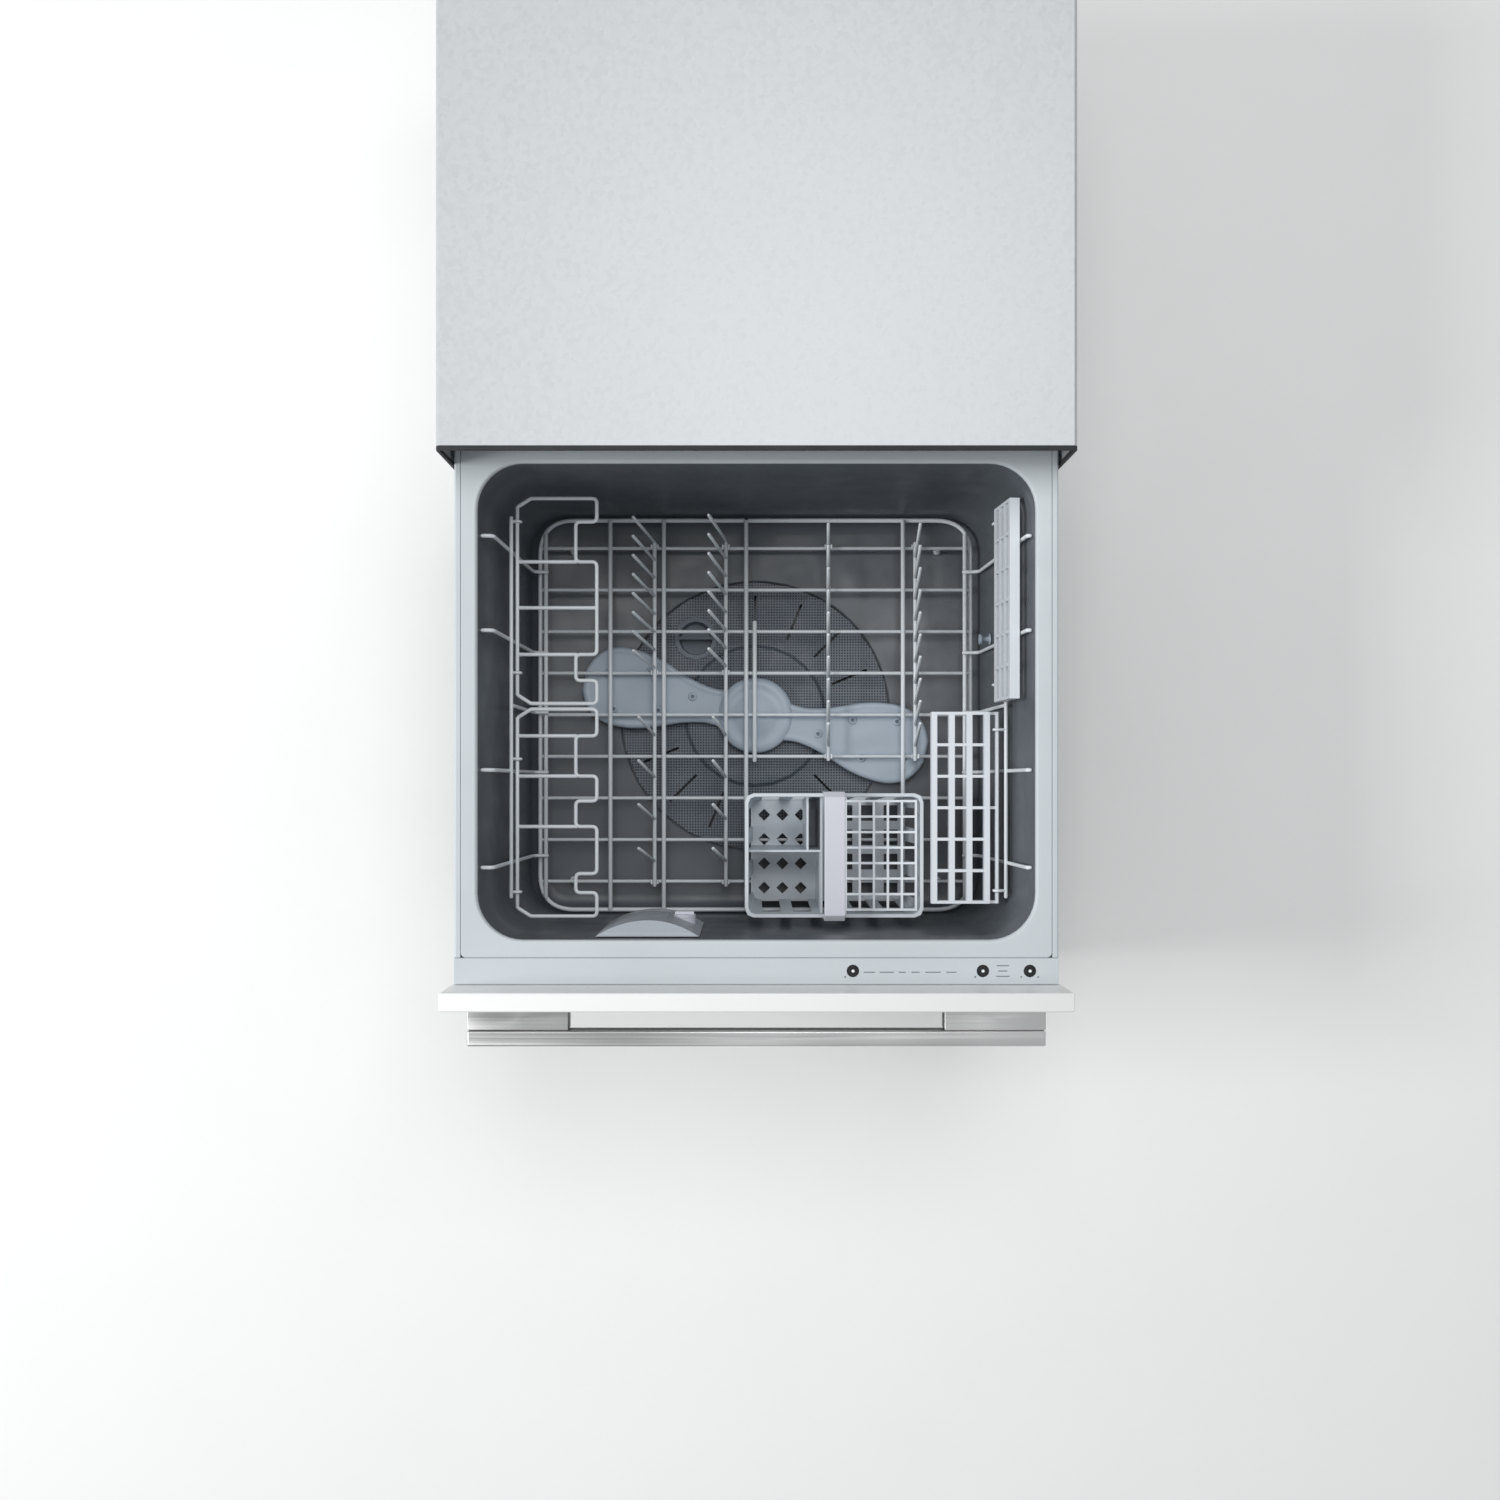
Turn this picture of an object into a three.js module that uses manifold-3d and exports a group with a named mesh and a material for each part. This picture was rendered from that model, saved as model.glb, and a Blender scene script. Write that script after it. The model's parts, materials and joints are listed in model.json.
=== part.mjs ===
// A built-in dishwasher drawer, pulled out to its stop: chassis, runners, lid, drawer, wash system,
// dispenser, wire racks and cutlery basket. Millimetres, +Z up, front towards -Y, X across.
// The origin is the centre of the chassis' underside.
import * as THREE from 'three';
import { mergeVertices } from 'three/addons/utils/BufferGeometryUtils.js';
import Module from 'manifold-3d';

const wasm = await Module();
wasm.setup();

// ---------------------------------------------------------------- driving dimensions
const clearance = 0.3; // gap between two pieces that seat on each other

// Chassis
const chassisWidth = 599;
const chassisDepth = 550;
const chassisHeight = 410;
const chassisSheet = 1.2;
const chassisSealWidth = 3;
const chassisSealDepth = 4;
const basePanFlange = 10;
const rearPanelInset = 13;
const fixingPlateThickness = 1.5;
const fixingPlateHeight = 90;
const fixingPlateDepth = 25;
const fixingScrewRadius = 2.6;
const inletRadius = 13.2;
const outletRadius = 10.5;
const glandRadius = 8;

// Runners
const drawerTravel = 505;
const runnerLength = 500;
const runnerHeight = 46;
const runnerDepth = 11.2;
const runnerSheet = 1.2;
const runnerGap = 0.4;
const runnerZ = 150;
const bracketSheet = 1.5;
const frameSheet = 1.5;
const bracketLength = 360;

// Front panel and handle
const panelWidth = chassisWidth - 3;
const panelHeight = chassisHeight - 10;
const panelThickness = 18;
const panelBottom = 6;
const panelGap = 2; // closed panel to chassis front
const panelEdge = 1.2;
const handleWidth = panelWidth - 37;
const handleDepth = 15.4;
const handleHeight = 21;
const handleReach = 24.3; // panel front to the back of the bar
const handleDrop = 40; // panel top to the top of the bar
const handleMountWidth = 98;
const handleEdge = 1.5;

// Rim and tub
const rimTop = chassisHeight - 58;
const rimOuterWidth = chassisWidth - 10;
const rimThickness = 3;
const rimLip = 14;
const rimFront = 17.5; // opening to the seam of the control panel
const rimRear = 17;
const sideTrimWidth = 6.1;
const sideTrimHeight = 18;
const openingWidth = rimOuterWidth - 44.6;
const openingDepth = 464.5;
const openingCorner = 45;
const tubWall = 3;
const tubFloor = 72;
const tubSideDraft = 12;
const tubEndDraft = 2;
const floorFillet = 20;
const wellRadius = 158;
const wellLedge = 12;
const wellLedgeZ = 65.7;
const wellFloor = 52;
const wellSides = 24;

// Controls
const controlDepth = 26.3;
const controlHeight = 18;
const controlWall = 2.5;
const buttonRadius = 5.65;
const buttonTravel = 1.2;
const buttonFlange = 2.4; // height of the collar that stops a button from inside
const buttonCentres = [200.4, 73.8, 28].map((inset) => rimOuterWidth / 2 - inset);
const buttonFromPanel = 13.6;

// Lid
const lidTravel = 20;
const lidGap = 0.5; // lowered seal to rim
const lidSealHeight = 3.6;
const lidSealWidth = 7.5;
const lidOverlap = 11.8; // lid edge beyond the tub opening
const lidPlate = 3;
const lidRimHeight = 18;
const lidPinRadius = 3;
const lidPinReach = 9;
const lidPinSpacing = 320;
const liftThickness = 11;
const liftLength = 440;
const liftHeight = 44;

// Wash system
const motorRadius = 70;
const motorBottom = 14;
const motorWall = 4;
const shaftRadius = 6;
const impellerRadius = 38;
const filterPlateThickness = 3;
const filterDomeRadius = 80;
const filterDomeTop = 74;
const postRadius = 8;
const postTop = 88;
const sprayReach = 205;
const sprayHubRadius = 44;
const sprayBottom = 77.5;
const sprayThickness = 10;
const sprayRestAngle = -12; // degrees from +X
const drainFilterRadius = 25;
const drainFilterPlace = 115;

// Racks
const wireRadius = 2;
const thickWireRadius = 2.5;
const tineRadius = 1.8;
const crossWireZ = 96;
const crossPitch = 48.2;
const crossCount = 4; // cross wires on each side of the middle one
const rackSideGap = 12.3; // edge wire to the tub's side at the rack's floor
const rackFrontInset = 6.7; // front wire to the tub opening
const rackRearInset = 7.3;
const rackCorner = 40;
const cupRackZ = rimTop - 100;
const sideRailZ = cupRackZ + 3;
const leftUprightInset = 13.2; // side wires of the left frame to the tub opening
const rightRailInset = 11.2; // rail of the right frame to the tub opening
const railAboveWire = 3.6;
const cupRackInset = 22.7; // hinge to the tub opening
const cupRackReach = 0.1525 * openingWidth;
const cupRackNotch = 22;
const slatRackInset = 20.2;
const slatRackReach = 0.1267 * openingWidth;
const slatRackRoot = 8; // hinge to the first slat
const slatRackLength = 200;
const slatRackGap = 10;
const slatDepth = 10;
const slatWidth = 6;
const slatBar = 3;
const slatRackUpAngle = 94.7; // degrees from lying to leaning on the wall
const saucerTineHeight = 96;
const plateTineHeight = 90;
const bowlTineHeight = 72;
const bowlTinePitch = crossPitch;

// Cutlery basket
const basketLeft = -0.0182 * openingWidth;
const basketWidth = 0.34 * openingWidth;
const basketDepth = 128;
const basketFromRackFront = 6;
const basketTop = rimTop - 112;
const basketWall = 2;
const basketTaper = 5;
const basketCorner = 9;
const basketSill = 3.6; // floor to the wall slots
const basketHandleWidth = 21.5;
const basketHandleTop = basketTop + 26;
const basketHandleThickness = 4;

// Dispenser
const dispenserWidth = 103;
const dispenserBulge = 15.5;
const dispenserCentre = -0.1978 * openingWidth;
const dispenserBottom = rimTop - 157;
const dispenserHeight = 140;
const dispenserDoorWidth = 56;
const dispenserDoorHeight = 68;
const dispenserDoorThickness = 3;
const rinseCapRadius = 12;

// ---------------------------------------------------------------- places worked out from them
const chassisFront = -chassisDepth / 2;
const chassisRear = chassisDepth / 2;
const chassisInner = chassisWidth / 2 - chassisSheet; // inner face of a chassis side
const panelRear = chassisFront - panelGap - drawerTravel;
const panelFront = panelRear - panelThickness;
const panelTop = panelBottom + panelHeight;
const controlSeam = panelRear + controlDepth;
const openingFront = controlSeam + rimFront;
const openingRear = openingFront + openingDepth;
const rimRearEdge = openingRear + rimRear;
const tubCentreY = (openingFront + openingRear) / 2;
const rimHalfWidth = rimOuterWidth / 2;
const closedCentreY = tubCentreY + drawerTravel;
const wellLedgeRadius = wellRadius - wellLedge;
const weldDepth = 0.2; // how far two crossing wires sink into each other
const longWireZ = crossWireZ + wireRadius + thickWireRadius - weldDepth;
const longWireTop = longWireZ + cornerOf(thickWireRadius, 4);
const tineRodRadius = 2.25;
const tineRodZ = longWireTop + clearance + cornerOf(tineRodRadius, 6);
const rackFront = openingFront + rackFrontInset;
const rackRear = openingRear - rackRearInset;

// The corner radius of a many-sided wire as large in section as a round one.
function cornerOf(radius, sides) {
  return radius * Math.sqrt((2 * Math.PI) / (sides * Math.sin((2 * Math.PI) / sides)));
}

// A geometry drawn on the Z axis, moved to the middle of the tub.
function onWellAxis(shape) {
  return shape.translate(0, tubCentreY, 0);
}

// Inner half-width and half-depth of the tub at a height.
function tubHalfWidth(z) {
  return openingWidth / 2 - (tubSideDraft * (rimTop - z)) / (rimTop - tubFloor);
}

function tubHalfDepth(z) {
  return openingDepth / 2 - (tubEndDraft * (rimTop - z)) / (rimTop - tubFloor);
}

// ---------------------------------------------------------------- shape helpers
const vector = (x, y, z) => new THREE.Vector3(x, y, z);

// A closed geometry as a solid with its faces pointing out.
function solid(geometry) {
  if (geometry instanceof wasm.Manifold) return geometry;
  const bare = geometry.clone();
  bare.deleteAttribute('normal');
  bare.deleteAttribute('uv');
  const merged = mergeVertices(bare, 1e-4);
  const vertProperties = Float32Array.from(merged.attributes.position.array);
  const triVerts = Uint32Array.from(merged.index.array);
  const made = new wasm.Manifold(new wasm.Mesh({ numProp: 3, vertProperties, triVerts }));
  if (made.volume() > 0) return made;
  return new wasm.Manifold(new wasm.Mesh({ numProp: 3, vertProperties, triVerts: triVerts.reverse() }));
}

function join(...shapes) {
  return shapes.flat().map(solid).reduce((whole, next) => whole.add(next));
}

function cut(base, ...tools) {
  return tools.flat().map(solid).reduce((rest, tool) => rest.subtract(tool), solid(base));
}

function geometryOf(shape) {
  if (shape instanceof THREE.BufferGeometry) return geometryOf(solid(shape));
  const mesh = shape.getMesh();
  const geometry = new THREE.BufferGeometry();
  geometry.setAttribute('position', new THREE.BufferAttribute(Float32Array.from(mesh.vertProperties), 3));
  geometry.setIndex(new THREE.BufferAttribute(Uint32Array.from(mesh.triVerts), 1));
  geometry.computeVertexNormals();
  return geometry;
}

function block(x0, x1, y0, y1, z0, z1) {
  const box = new THREE.BoxGeometry(x1 - x0, y1 - y0, z1 - z0);
  return box.translate((x0 + x1) / 2, (y0 + y1) / 2, (z0 + z1) / 2);
}

function polygon(points) {
  return new THREE.Shape(points.map(([a, b]) => new THREE.Vector2(a, b)));
}

function roundRect(a0, a1, b0, b1, radius) {
  const shape = new THREE.Shape();
  shape.moveTo(a0 + radius, b0);
  shape.lineTo(a1 - radius, b0);
  shape.absarc(a1 - radius, b0 + radius, radius, -Math.PI / 2, 0);
  shape.absarc(a1 - radius, b1 - radius, radius, 0, Math.PI / 2);
  shape.absarc(a0 + radius, b1 - radius, radius, Math.PI / 2, Math.PI);
  shape.absarc(a0 + radius, b0 + radius, radius, Math.PI, 1.5 * Math.PI);
  return shape;
}

// An outline pushed along Z, along Y (outline in X and Z) or along X (outline in Y and Z).
function alongZ(shape, z0, z1, curveSegments = 4) {
  const made = new THREE.ExtrudeGeometry(shape, { depth: z1 - z0, bevelEnabled: false, curveSegments });
  return made.translate(0, 0, z0);
}

function alongY(shape, y0, y1, curveSegments = 4) {
  const made = new THREE.ExtrudeGeometry(shape, { depth: y1 - y0, bevelEnabled: false, curveSegments });
  return made.rotateX(Math.PI / 2).translate(0, y1, 0);
}

function alongX(shape, x0, x1, curveSegments = 4) {
  const made = new THREE.ExtrudeGeometry(shape, { depth: x1 - x0, bevelEnabled: false, curveSegments });
  made.applyMatrix4(new THREE.Matrix4().makeBasis(vector(0, 1, 0), vector(0, 0, 1), vector(1, 0, 0)));
  return made.translate(x0, 0, 0);
}

// A slab with its long edges bevelled, standing across Y.
function bevelledSlab(x0, x1, y0, y1, z0, z1, bevel) {
  const shape = roundRect(x0 + bevel, x1 - bevel, z0 + bevel, z1 - bevel, bevel / 2);
  const options = {
    depth: y1 - y0 - 2 * bevel,
    bevelSize: bevel,
    bevelThickness: bevel,
    bevelSegments: 1,
    curveSegments: 1,
  };
  const made = new THREE.ExtrudeGeometry(shape, options);
  return made.rotateX(Math.PI / 2).translate(0, y1 - bevel, 0);
}

// A profile of [radius, height] points turned about the Z axis.
function turned(points, segments = 24) {
  const profile = points.map(([radius, height]) => new THREE.Vector2(radius, height));
  return new THREE.LatheGeometry(profile, segments).rotateX(Math.PI / 2);
}

// A round bar between two heights on the Z axis, and one along X or Y.
function disc(radius, z0, z1, segments = 24) {
  return turned([[0, z0], [radius, z0], [radius, z1], [0, z1]], segments);
}

function barAlongX(x0, x1, y, z, radius, segments = 12) {
  return disc(radius, x0, x1, segments).rotateY(Math.PI / 2).translate(0, y, z);
}

function barAlongY(y0, y1, x, z, radius, segments = 12) {
  return disc(radius, y0, y1, segments).rotateX(-Math.PI / 2).translate(x, 0, z);
}

// A skin between rings of equal point counts, closed by flat ends.
function loft(rings) {
  const count = rings[0].length;
  const places = rings.flat().flatMap((point) => [point.x, point.y, point.z]);
  const faces = [];
  for (let level = 0; level + 1 < rings.length; level += 1) {
    for (let i = 0; i < count; i += 1) {
      const a = level * count + i;
      const b = level * count + ((i + 1) % count);
      faces.push(a, b, b + count, a, b + count, a + count);
    }
  }
  const last = (rings.length - 1) * count;
  for (let i = 1; i + 1 < count; i += 1) {
    faces.push(0, i + 1, i, last, last + i, last + i + 1);
  }
  const geometry = new THREE.BufferGeometry();
  geometry.setAttribute('position', new THREE.Float32BufferAttribute(places, 3));
  geometry.setIndex(faces);
  return geometry;
}

// A level rounded rectangle as a ring of points.
function ring(centreX, centreY, halfWidth, halfDepth, corner, z, cornerSteps = 4) {
  const points = [];
  const turns = [[1, -1, -0.5], [1, 1, 0], [-1, 1, 0.5], [-1, -1, 1]];
  for (const [sideX, sideY, start] of turns) {
    for (let step = 0; step <= cornerSteps; step += 1) {
      const angle = (start + (0.5 * step) / cornerSteps) * Math.PI;
      const x = centreX + sideX * (halfWidth - corner) + corner * Math.cos(angle);
      const y = centreY + sideY * (halfDepth - corner) + corner * Math.sin(angle);
      points.push(vector(x, y, z));
    }
  }
  return points;
}

// A path that a tube follows from point to point, with its cross-section set square to the bend.
class PointPath extends THREE.Curve {
  constructor(points) {
    super();
    this.points = points;
  }

  getPoint(t) {
    const last = this.points.length - 1;
    const index = Math.min(Math.floor(t * last + 1e-9), last - 1);
    return this.points[index].clone().lerp(this.points[index + 1], t * last - index);
  }

  getPointAt(t) {
    return this.getPoint(t);
  }

  getTangentAt(t) {
    const last = this.points.length - 1;
    const index = Math.round(t * last);
    const here = this.points[index];
    const before = here.clone().sub(this.points[Math.max(index - 1, 0)]).normalize();
    const after = this.points[Math.min(index + 1, last)].clone().sub(here).normalize();
    return before.add(after).normalize();
  }
}

// The corners of a path, each replaced by a bend.
function bent(corners, bendRadius, steps = 3) {
  const points = [corners[0]];
  for (let i = 1; i + 1 < corners.length; i += 1) {
    const back = corners[i - 1].clone().sub(corners[i]);
    const ahead = corners[i + 1].clone().sub(corners[i]);
    const turn = Math.PI - back.angleTo(ahead);
    const room = 0.49 * Math.min(back.length(), ahead.length());
    const reach = Math.min(bendRadius * Math.tan(turn / 2), room);
    const start = corners[i].clone().add(back.setLength(reach));
    const end = corners[i].clone().add(ahead.setLength(reach));
    const curve = new THREE.QuadraticBezierCurve3(start, corners[i], end);
    points.push(...curve.getPoints(steps));
  }
  points.push(corners[corners.length - 1]);
  return points;
}

function wireSection(radius, sides) {
  const corner = cornerOf(radius, sides);
  return polygon(Array.from({ length: sides }, (_, i) => {
    const angle = (2 * Math.PI * i) / sides;
    return [corner * Math.cos(angle), corner * Math.sin(angle)];
  }));
}

function wire(points, radius, sides = 4) {
  const options = { steps: points.length - 1, bevelEnabled: false, extrudePath: new PointPath(points) };
  return new THREE.ExtrudeGeometry(wireSection(radius, sides), options);
}

function crossWire(x0, x1, y, z, radius, sides = 4) {
  return alongX(wireSection(radius, sides), x0, x1).translate(0, y, z);
}

function longWire(x, y0, y1, z, radius, sides = 4) {
  return alongY(wireSection(radius, sides), y0, y1).translate(x, 0, z);
}

// The corner radius of an eight-sided bore that a six-sided wire turns in.
function boreFor(radius) {
  return (cornerOf(radius, 6) + clearance) / Math.cos(Math.PI / 8);
}

function mirrored(shape) {
  return geometryOf(shape).scale(-1, 1, 1);
}

// ---------------------------------------------------------------- the model and its finishes
const model = new THREE.Group();
model.name = 'dishwasher_drawer';

const finishes = {
  wrapper: [0xb9bcbe, 0.45, 0.8],
  zinc: [0xa9adb0, 0.4, 0.9],
  darkPlastic: [0x3b3f43, 0.6, 0.0],
  rubber: [0x2b2d30, 0.85, 0.0],
  rim: [0xcfd6da, 0.45, 0.0],
  tub: [0x8a9299, 0.5, 0.0],
  wash: [0x8d99a6, 0.5, 0.0],
  panel: [0xf1f1f0, 0.4, 0.0],
  stainless: [0xb8b8b8, 0.28, 1.0],
  button: [0x17191b, 0.35, 0.0],
  coatedWire: [0xe6eaec, 0.4, 0.0],
  rackPlastic: [0xd3dadf, 0.45, 0.0],
  basket: [0xc3ccd3, 0.5, 0.0],
  handleGrey: [0xc6c8d2, 0.5, 0.0],
};

function piece(name, shape, finish) {
  const [color, roughness, metalness] = finishes[finish];
  const material = new THREE.MeshStandardMaterial({ color, roughness, metalness });
  const mesh = new THREE.Mesh(geometryOf(shape), material);
  mesh.name = name;
  model.add(mesh);
  return mesh;
}

function pair(name, rightShape, finish) {
  piece(`${name}_right`, rightShape, finish);
  piece(`${name}_left`, mirrored(rightShape), finish);
}

// ---------------------------------------------------------------- chassis
const sheetFront = chassisFront + chassisSealDepth + clearance;
const fixingPlateZ = 20;
const fixingPlateY = sheetFront + 4;
const fixingScrewZ = [fixingPlateZ + 15, fixingPlateZ + fixingPlateHeight - 15];

function sideScrewHoles() {
  const y = fixingPlateY + fixingPlateDepth / 2;
  return fixingScrewZ.map((z) => barAlongX(-chassisWidth, chassisWidth, y, z, fixingScrewRadius, 6));
}

function wrapper() {
  const outer = chassisWidth / 2;
  const inner = chassisInner;
  const ceiling = chassisHeight - chassisSheet;
  const outline = polygon([
    [-outer, 0], [-outer, chassisHeight - 3], [-outer + 3, chassisHeight], [outer - 3, chassisHeight],
    [outer, chassisHeight - 3], [outer, 0], [inner, 0], [inner, ceiling - 2], [inner - 2, ceiling],
    [-inner + 2, ceiling], [-inner, ceiling - 2], [-inner, 0],
  ]);
  const shell = alongY(outline, sheetFront, chassisRear);
  const swages = [-1, 0, 1].map((k) => {
    const y = (k * chassisDepth) / 3.4;
    const profile = polygon([
      [y - 16, ceiling + 0.2], [y - 11, ceiling - 3], [y + 11, ceiling - 3], [y + 16, ceiling + 0.2],
    ]);
    return alongX(profile, -outer + 60, outer - 60);
  });
  const holdTop = chassisHeight - 150;
  const handHold = roundRect(chassisRear - 170, chassisRear - 70, holdTop - 40, holdTop, 18);
  const handHolds = alongX(handHold, -chassisWidth, chassisWidth, 2);
  return cut(join(shell, swages), handHolds, sideScrewHoles());
}

function frontSeal() {
  const outer = chassisWidth / 2;
  const inner = outer - chassisSealWidth;
  const outline = roundRect(-outer, outer, 0, chassisHeight, 3);
  outline.holes.push(roundRect(-inner, inner, chassisSealWidth, chassisHeight - chassisSealWidth, 2));
  return alongY(outline, chassisFront, chassisFront + chassisSealDepth, 2);
}

function basePan() {
  const half = chassisInner - clearance;
  const floor = alongZ(roundRect(-half, half, sheetFront, chassisRear, 2), 0, chassisSheet, 1);
  const rimShape = roundRect(-half, half, sheetFront, chassisRear, 2);
  const inner = half - chassisSheet;
  rimShape.holes.push(roundRect(-inner, inner, sheetFront + chassisSheet, chassisRear - chassisSheet, 1));
  const flange = alongZ(rimShape, 0, basePanFlange, 1);
  const beads = [-1, 0, 1].map((k) => {
    const profile = polygon([[-12, chassisSheet - 0.1], [-8, 3.6], [8, 3.6], [12, chassisSheet - 0.1]]);
    return alongY(profile, sheetFront + 30, chassisRear - 40).translate((k * chassisWidth) / 4, 0, 0);
  });
  const drainHoles = [-1, 1].flatMap((a) => [-1, 1].map((b) => (
    disc(6, -1, 5, 6).translate((a * chassisWidth) / 2.6, (b * chassisDepth) / 2.7, 0))));
  return cut(join(floor, flange, beads), drainHoles);
}

const fittingZ = 62;
const fittings = {
  inlet: [chassisWidth / 2 - 91.5, inletRadius],
  outlet: [chassisWidth / 2 - 149.5, outletRadius],
  gland: [chassisWidth / 2 - 47.5, glandRadius],
};
const rearPanelFace = chassisRear - rearPanelInset;

function rearPanel() {
  const half = chassisInner - clearance;
  const bottom = basePanFlange + clearance;
  const top = chassisHeight - chassisSheet - clearance;
  const outline = roundRect(-half, half, bottom, top, 3);
  const plate = alongY(outline, rearPanelFace - chassisSheet, rearPanelFace, 1);
  const swages = [0.36, 0.56, 0.76].map((share) => {
    const z = chassisHeight * share;
    const strip = roundRect(-half + 50, half - 50, z - 12, z + 12, 11);
    return alongY(strip, rearPanelFace - chassisSheet - 2.5, rearPanelFace - chassisSheet + 0.1, 1);
  });
  const holes = Object.values(fittings).map(([x, radius]) => {
    const bore = (radius + clearance) / Math.cos(Math.PI / 10);
    return barAlongY(rearPanelFace - 20, rearPanelFace + 20, x, fittingZ, bore, 10);
  });
  return cut(join(plate, swages), holes);
}

// A tube through the rear panel with a flange inside it.
function rearFitting([x, radius], boreShare) {
  const inside = rearPanelFace - chassisSheet - clearance;
  const flange = barAlongY(inside - 4, inside, x, fittingZ, radius + 5, 10);
  const neck = barAlongY(inside - 12, chassisRear - 0.5, x, fittingZ, radius, 10);
  const bore = barAlongY(inside - 20, chassisRear + 5, x, fittingZ, radius * boreShare, 6);
  return cut(join(flange, neck), bore);
}

function fixingPlate() {
  const outer = chassisInner - clearance;
  const rear = fixingPlateY + fixingPlateDepth;
  const outline = roundRect(fixingPlateY, rear, fixingPlateZ, fixingPlateZ + fixingPlateHeight, 4);
  return cut(alongX(outline, outer - fixingPlateThickness, outer, 1), sideScrewHoles());
}

piece('chassis_wrapper', wrapper(), 'wrapper');
piece('chassis_front_seal', frontSeal(), 'rubber');
piece('base_pan', basePan(), 'zinc');
piece('rear_panel', rearPanel(), 'zinc');
piece('fill_inlet', rearFitting(fittings.inlet, 0.72), 'darkPlastic');
piece('drain_outlet', rearFitting(fittings.outlet, 0.78), 'darkPlastic');
piece('cable_gland', rearFitting(fittings.gland, 0.45), 'darkPlastic');
pair('fixing_plate', fixingPlate(), 'zinc');

// ---------------------------------------------------------------- runners
// Three nested channels. Each is drawn in X and Z on the right-hand side.
const outerWebX = chassisInner - clearance;
const outerMouthX = outerWebX - runnerDepth;
const middleWebX = outerWebX - runnerSheet - runnerGap;
const middleMouthX = outerMouthX + runnerSheet + runnerGap;
const innerWebX = middleMouthX + runnerSheet + runnerGap;
const innerArmX = middleWebX - runnerSheet - runnerGap;
const outerHalf = runnerHeight / 2;
const middleHalf = outerHalf - runnerSheet - runnerGap;
const innerHalf = middleHalf - runnerSheet - runnerGap;

// A channel whose web stands at webX and whose arms reach to mouthX, with small returns there.
function channel(webX, mouthX, half, lip) {
  const t = runnerSheet;
  const upper = [
    [webX, half], [mouthX, half], [mouthX, half - lip], [mouthX + t, half - lip],
    [mouthX + t, half - t], [webX - t, half - t],
  ];
  const lower = upper.map(([x, z]) => [x, -z]).reverse();
  return polygon([...upper, ...lower].map(([x, z]) => [x, z + runnerZ]));
}

function innerChannel() {
  const t = runnerSheet;
  const half = innerHalf;
  const upper = [[innerWebX, half], [innerArmX, half], [innerArmX, half - t], [innerWebX + t, half - t]];
  const lower = upper.map(([x, z]) => [x, -z]).reverse();
  return polygon([...upper, ...lower].map(([x, z]) => [x, z + runnerZ]));
}

const outerRunnerRear = chassisFront + 10 + runnerLength;
const innerRunnerRear = outerRunnerRear - drawerTravel;
const middleRunnerRear = outerRunnerRear - drawerTravel / 2;

function runner(shape, rearY) {
  return alongY(shape, rearY - runnerLength, rearY);
}

// A folded bracket from the inner runner to the sloping side of the tub.
function runnerBracket() {
  const outside = innerWebX - clearance;
  const inside = (z) => tubHalfWidth(z) + tubWall + clearance;
  const t = bracketSheet;
  const low = runnerZ - 14;
  const high = runnerZ + 14;
  const profile = polygon([
    [outside, low], [outside, high], [outside - t, high], [outside - t, low + t],
    [inside(low + t) + t, low + t], [inside(high) + t, high], [inside(high), high], [inside(low), low],
  ]);
  const bar = alongY(profile, tubCentreY - bracketLength / 2, tubCentreY + bracketLength / 2);
  const slots = [-1, 0, 1].map((k) => {
    const y = tubCentreY + (k * bracketLength) / 3;
    const slot = roundRect(y - 25, y + 25, runnerZ - 4, runnerZ + 8, 5);
    return alongX(slot, outside - 2 * t, outside + t, 1);
  });
  return cut(bar, slots);
}

pair('outer_runner', runner(channel(outerWebX, outerMouthX, outerHalf, 2.2), outerRunnerRear), 'zinc');
pair('middle_runner', runner(channel(middleWebX, middleMouthX, middleHalf, 2.2), middleRunnerRear), 'zinc');
pair('inner_runner', runner(innerChannel(), innerRunnerRear), 'zinc');
pair('runner_bracket', runnerBracket(), 'zinc');

// ---------------------------------------------------------------- lid and its lifts
const lidHalfWidth = openingWidth / 2 + lidOverlap;
const lidHalfDepth = openingDepth / 2 + lidOverlap;
const lidSealBottom = rimTop + lidGap + lidTravel;
const lidBottom = lidSealBottom + lidSealHeight + clearance;
const lidPinZ = lidBottom + 10;
const lidPinPlaces = [closedCentreY - lidPinSpacing / 2, closedCentreY + lidPinSpacing / 2];

function lidRing(outset, corner) {
  const halfWidth = openingWidth / 2 + outset;
  const halfDepth = openingDepth / 2 + outset;
  return roundRect(-halfWidth, halfWidth, closedCentreY - halfDepth, closedCentreY + halfDepth, corner);
}

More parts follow.
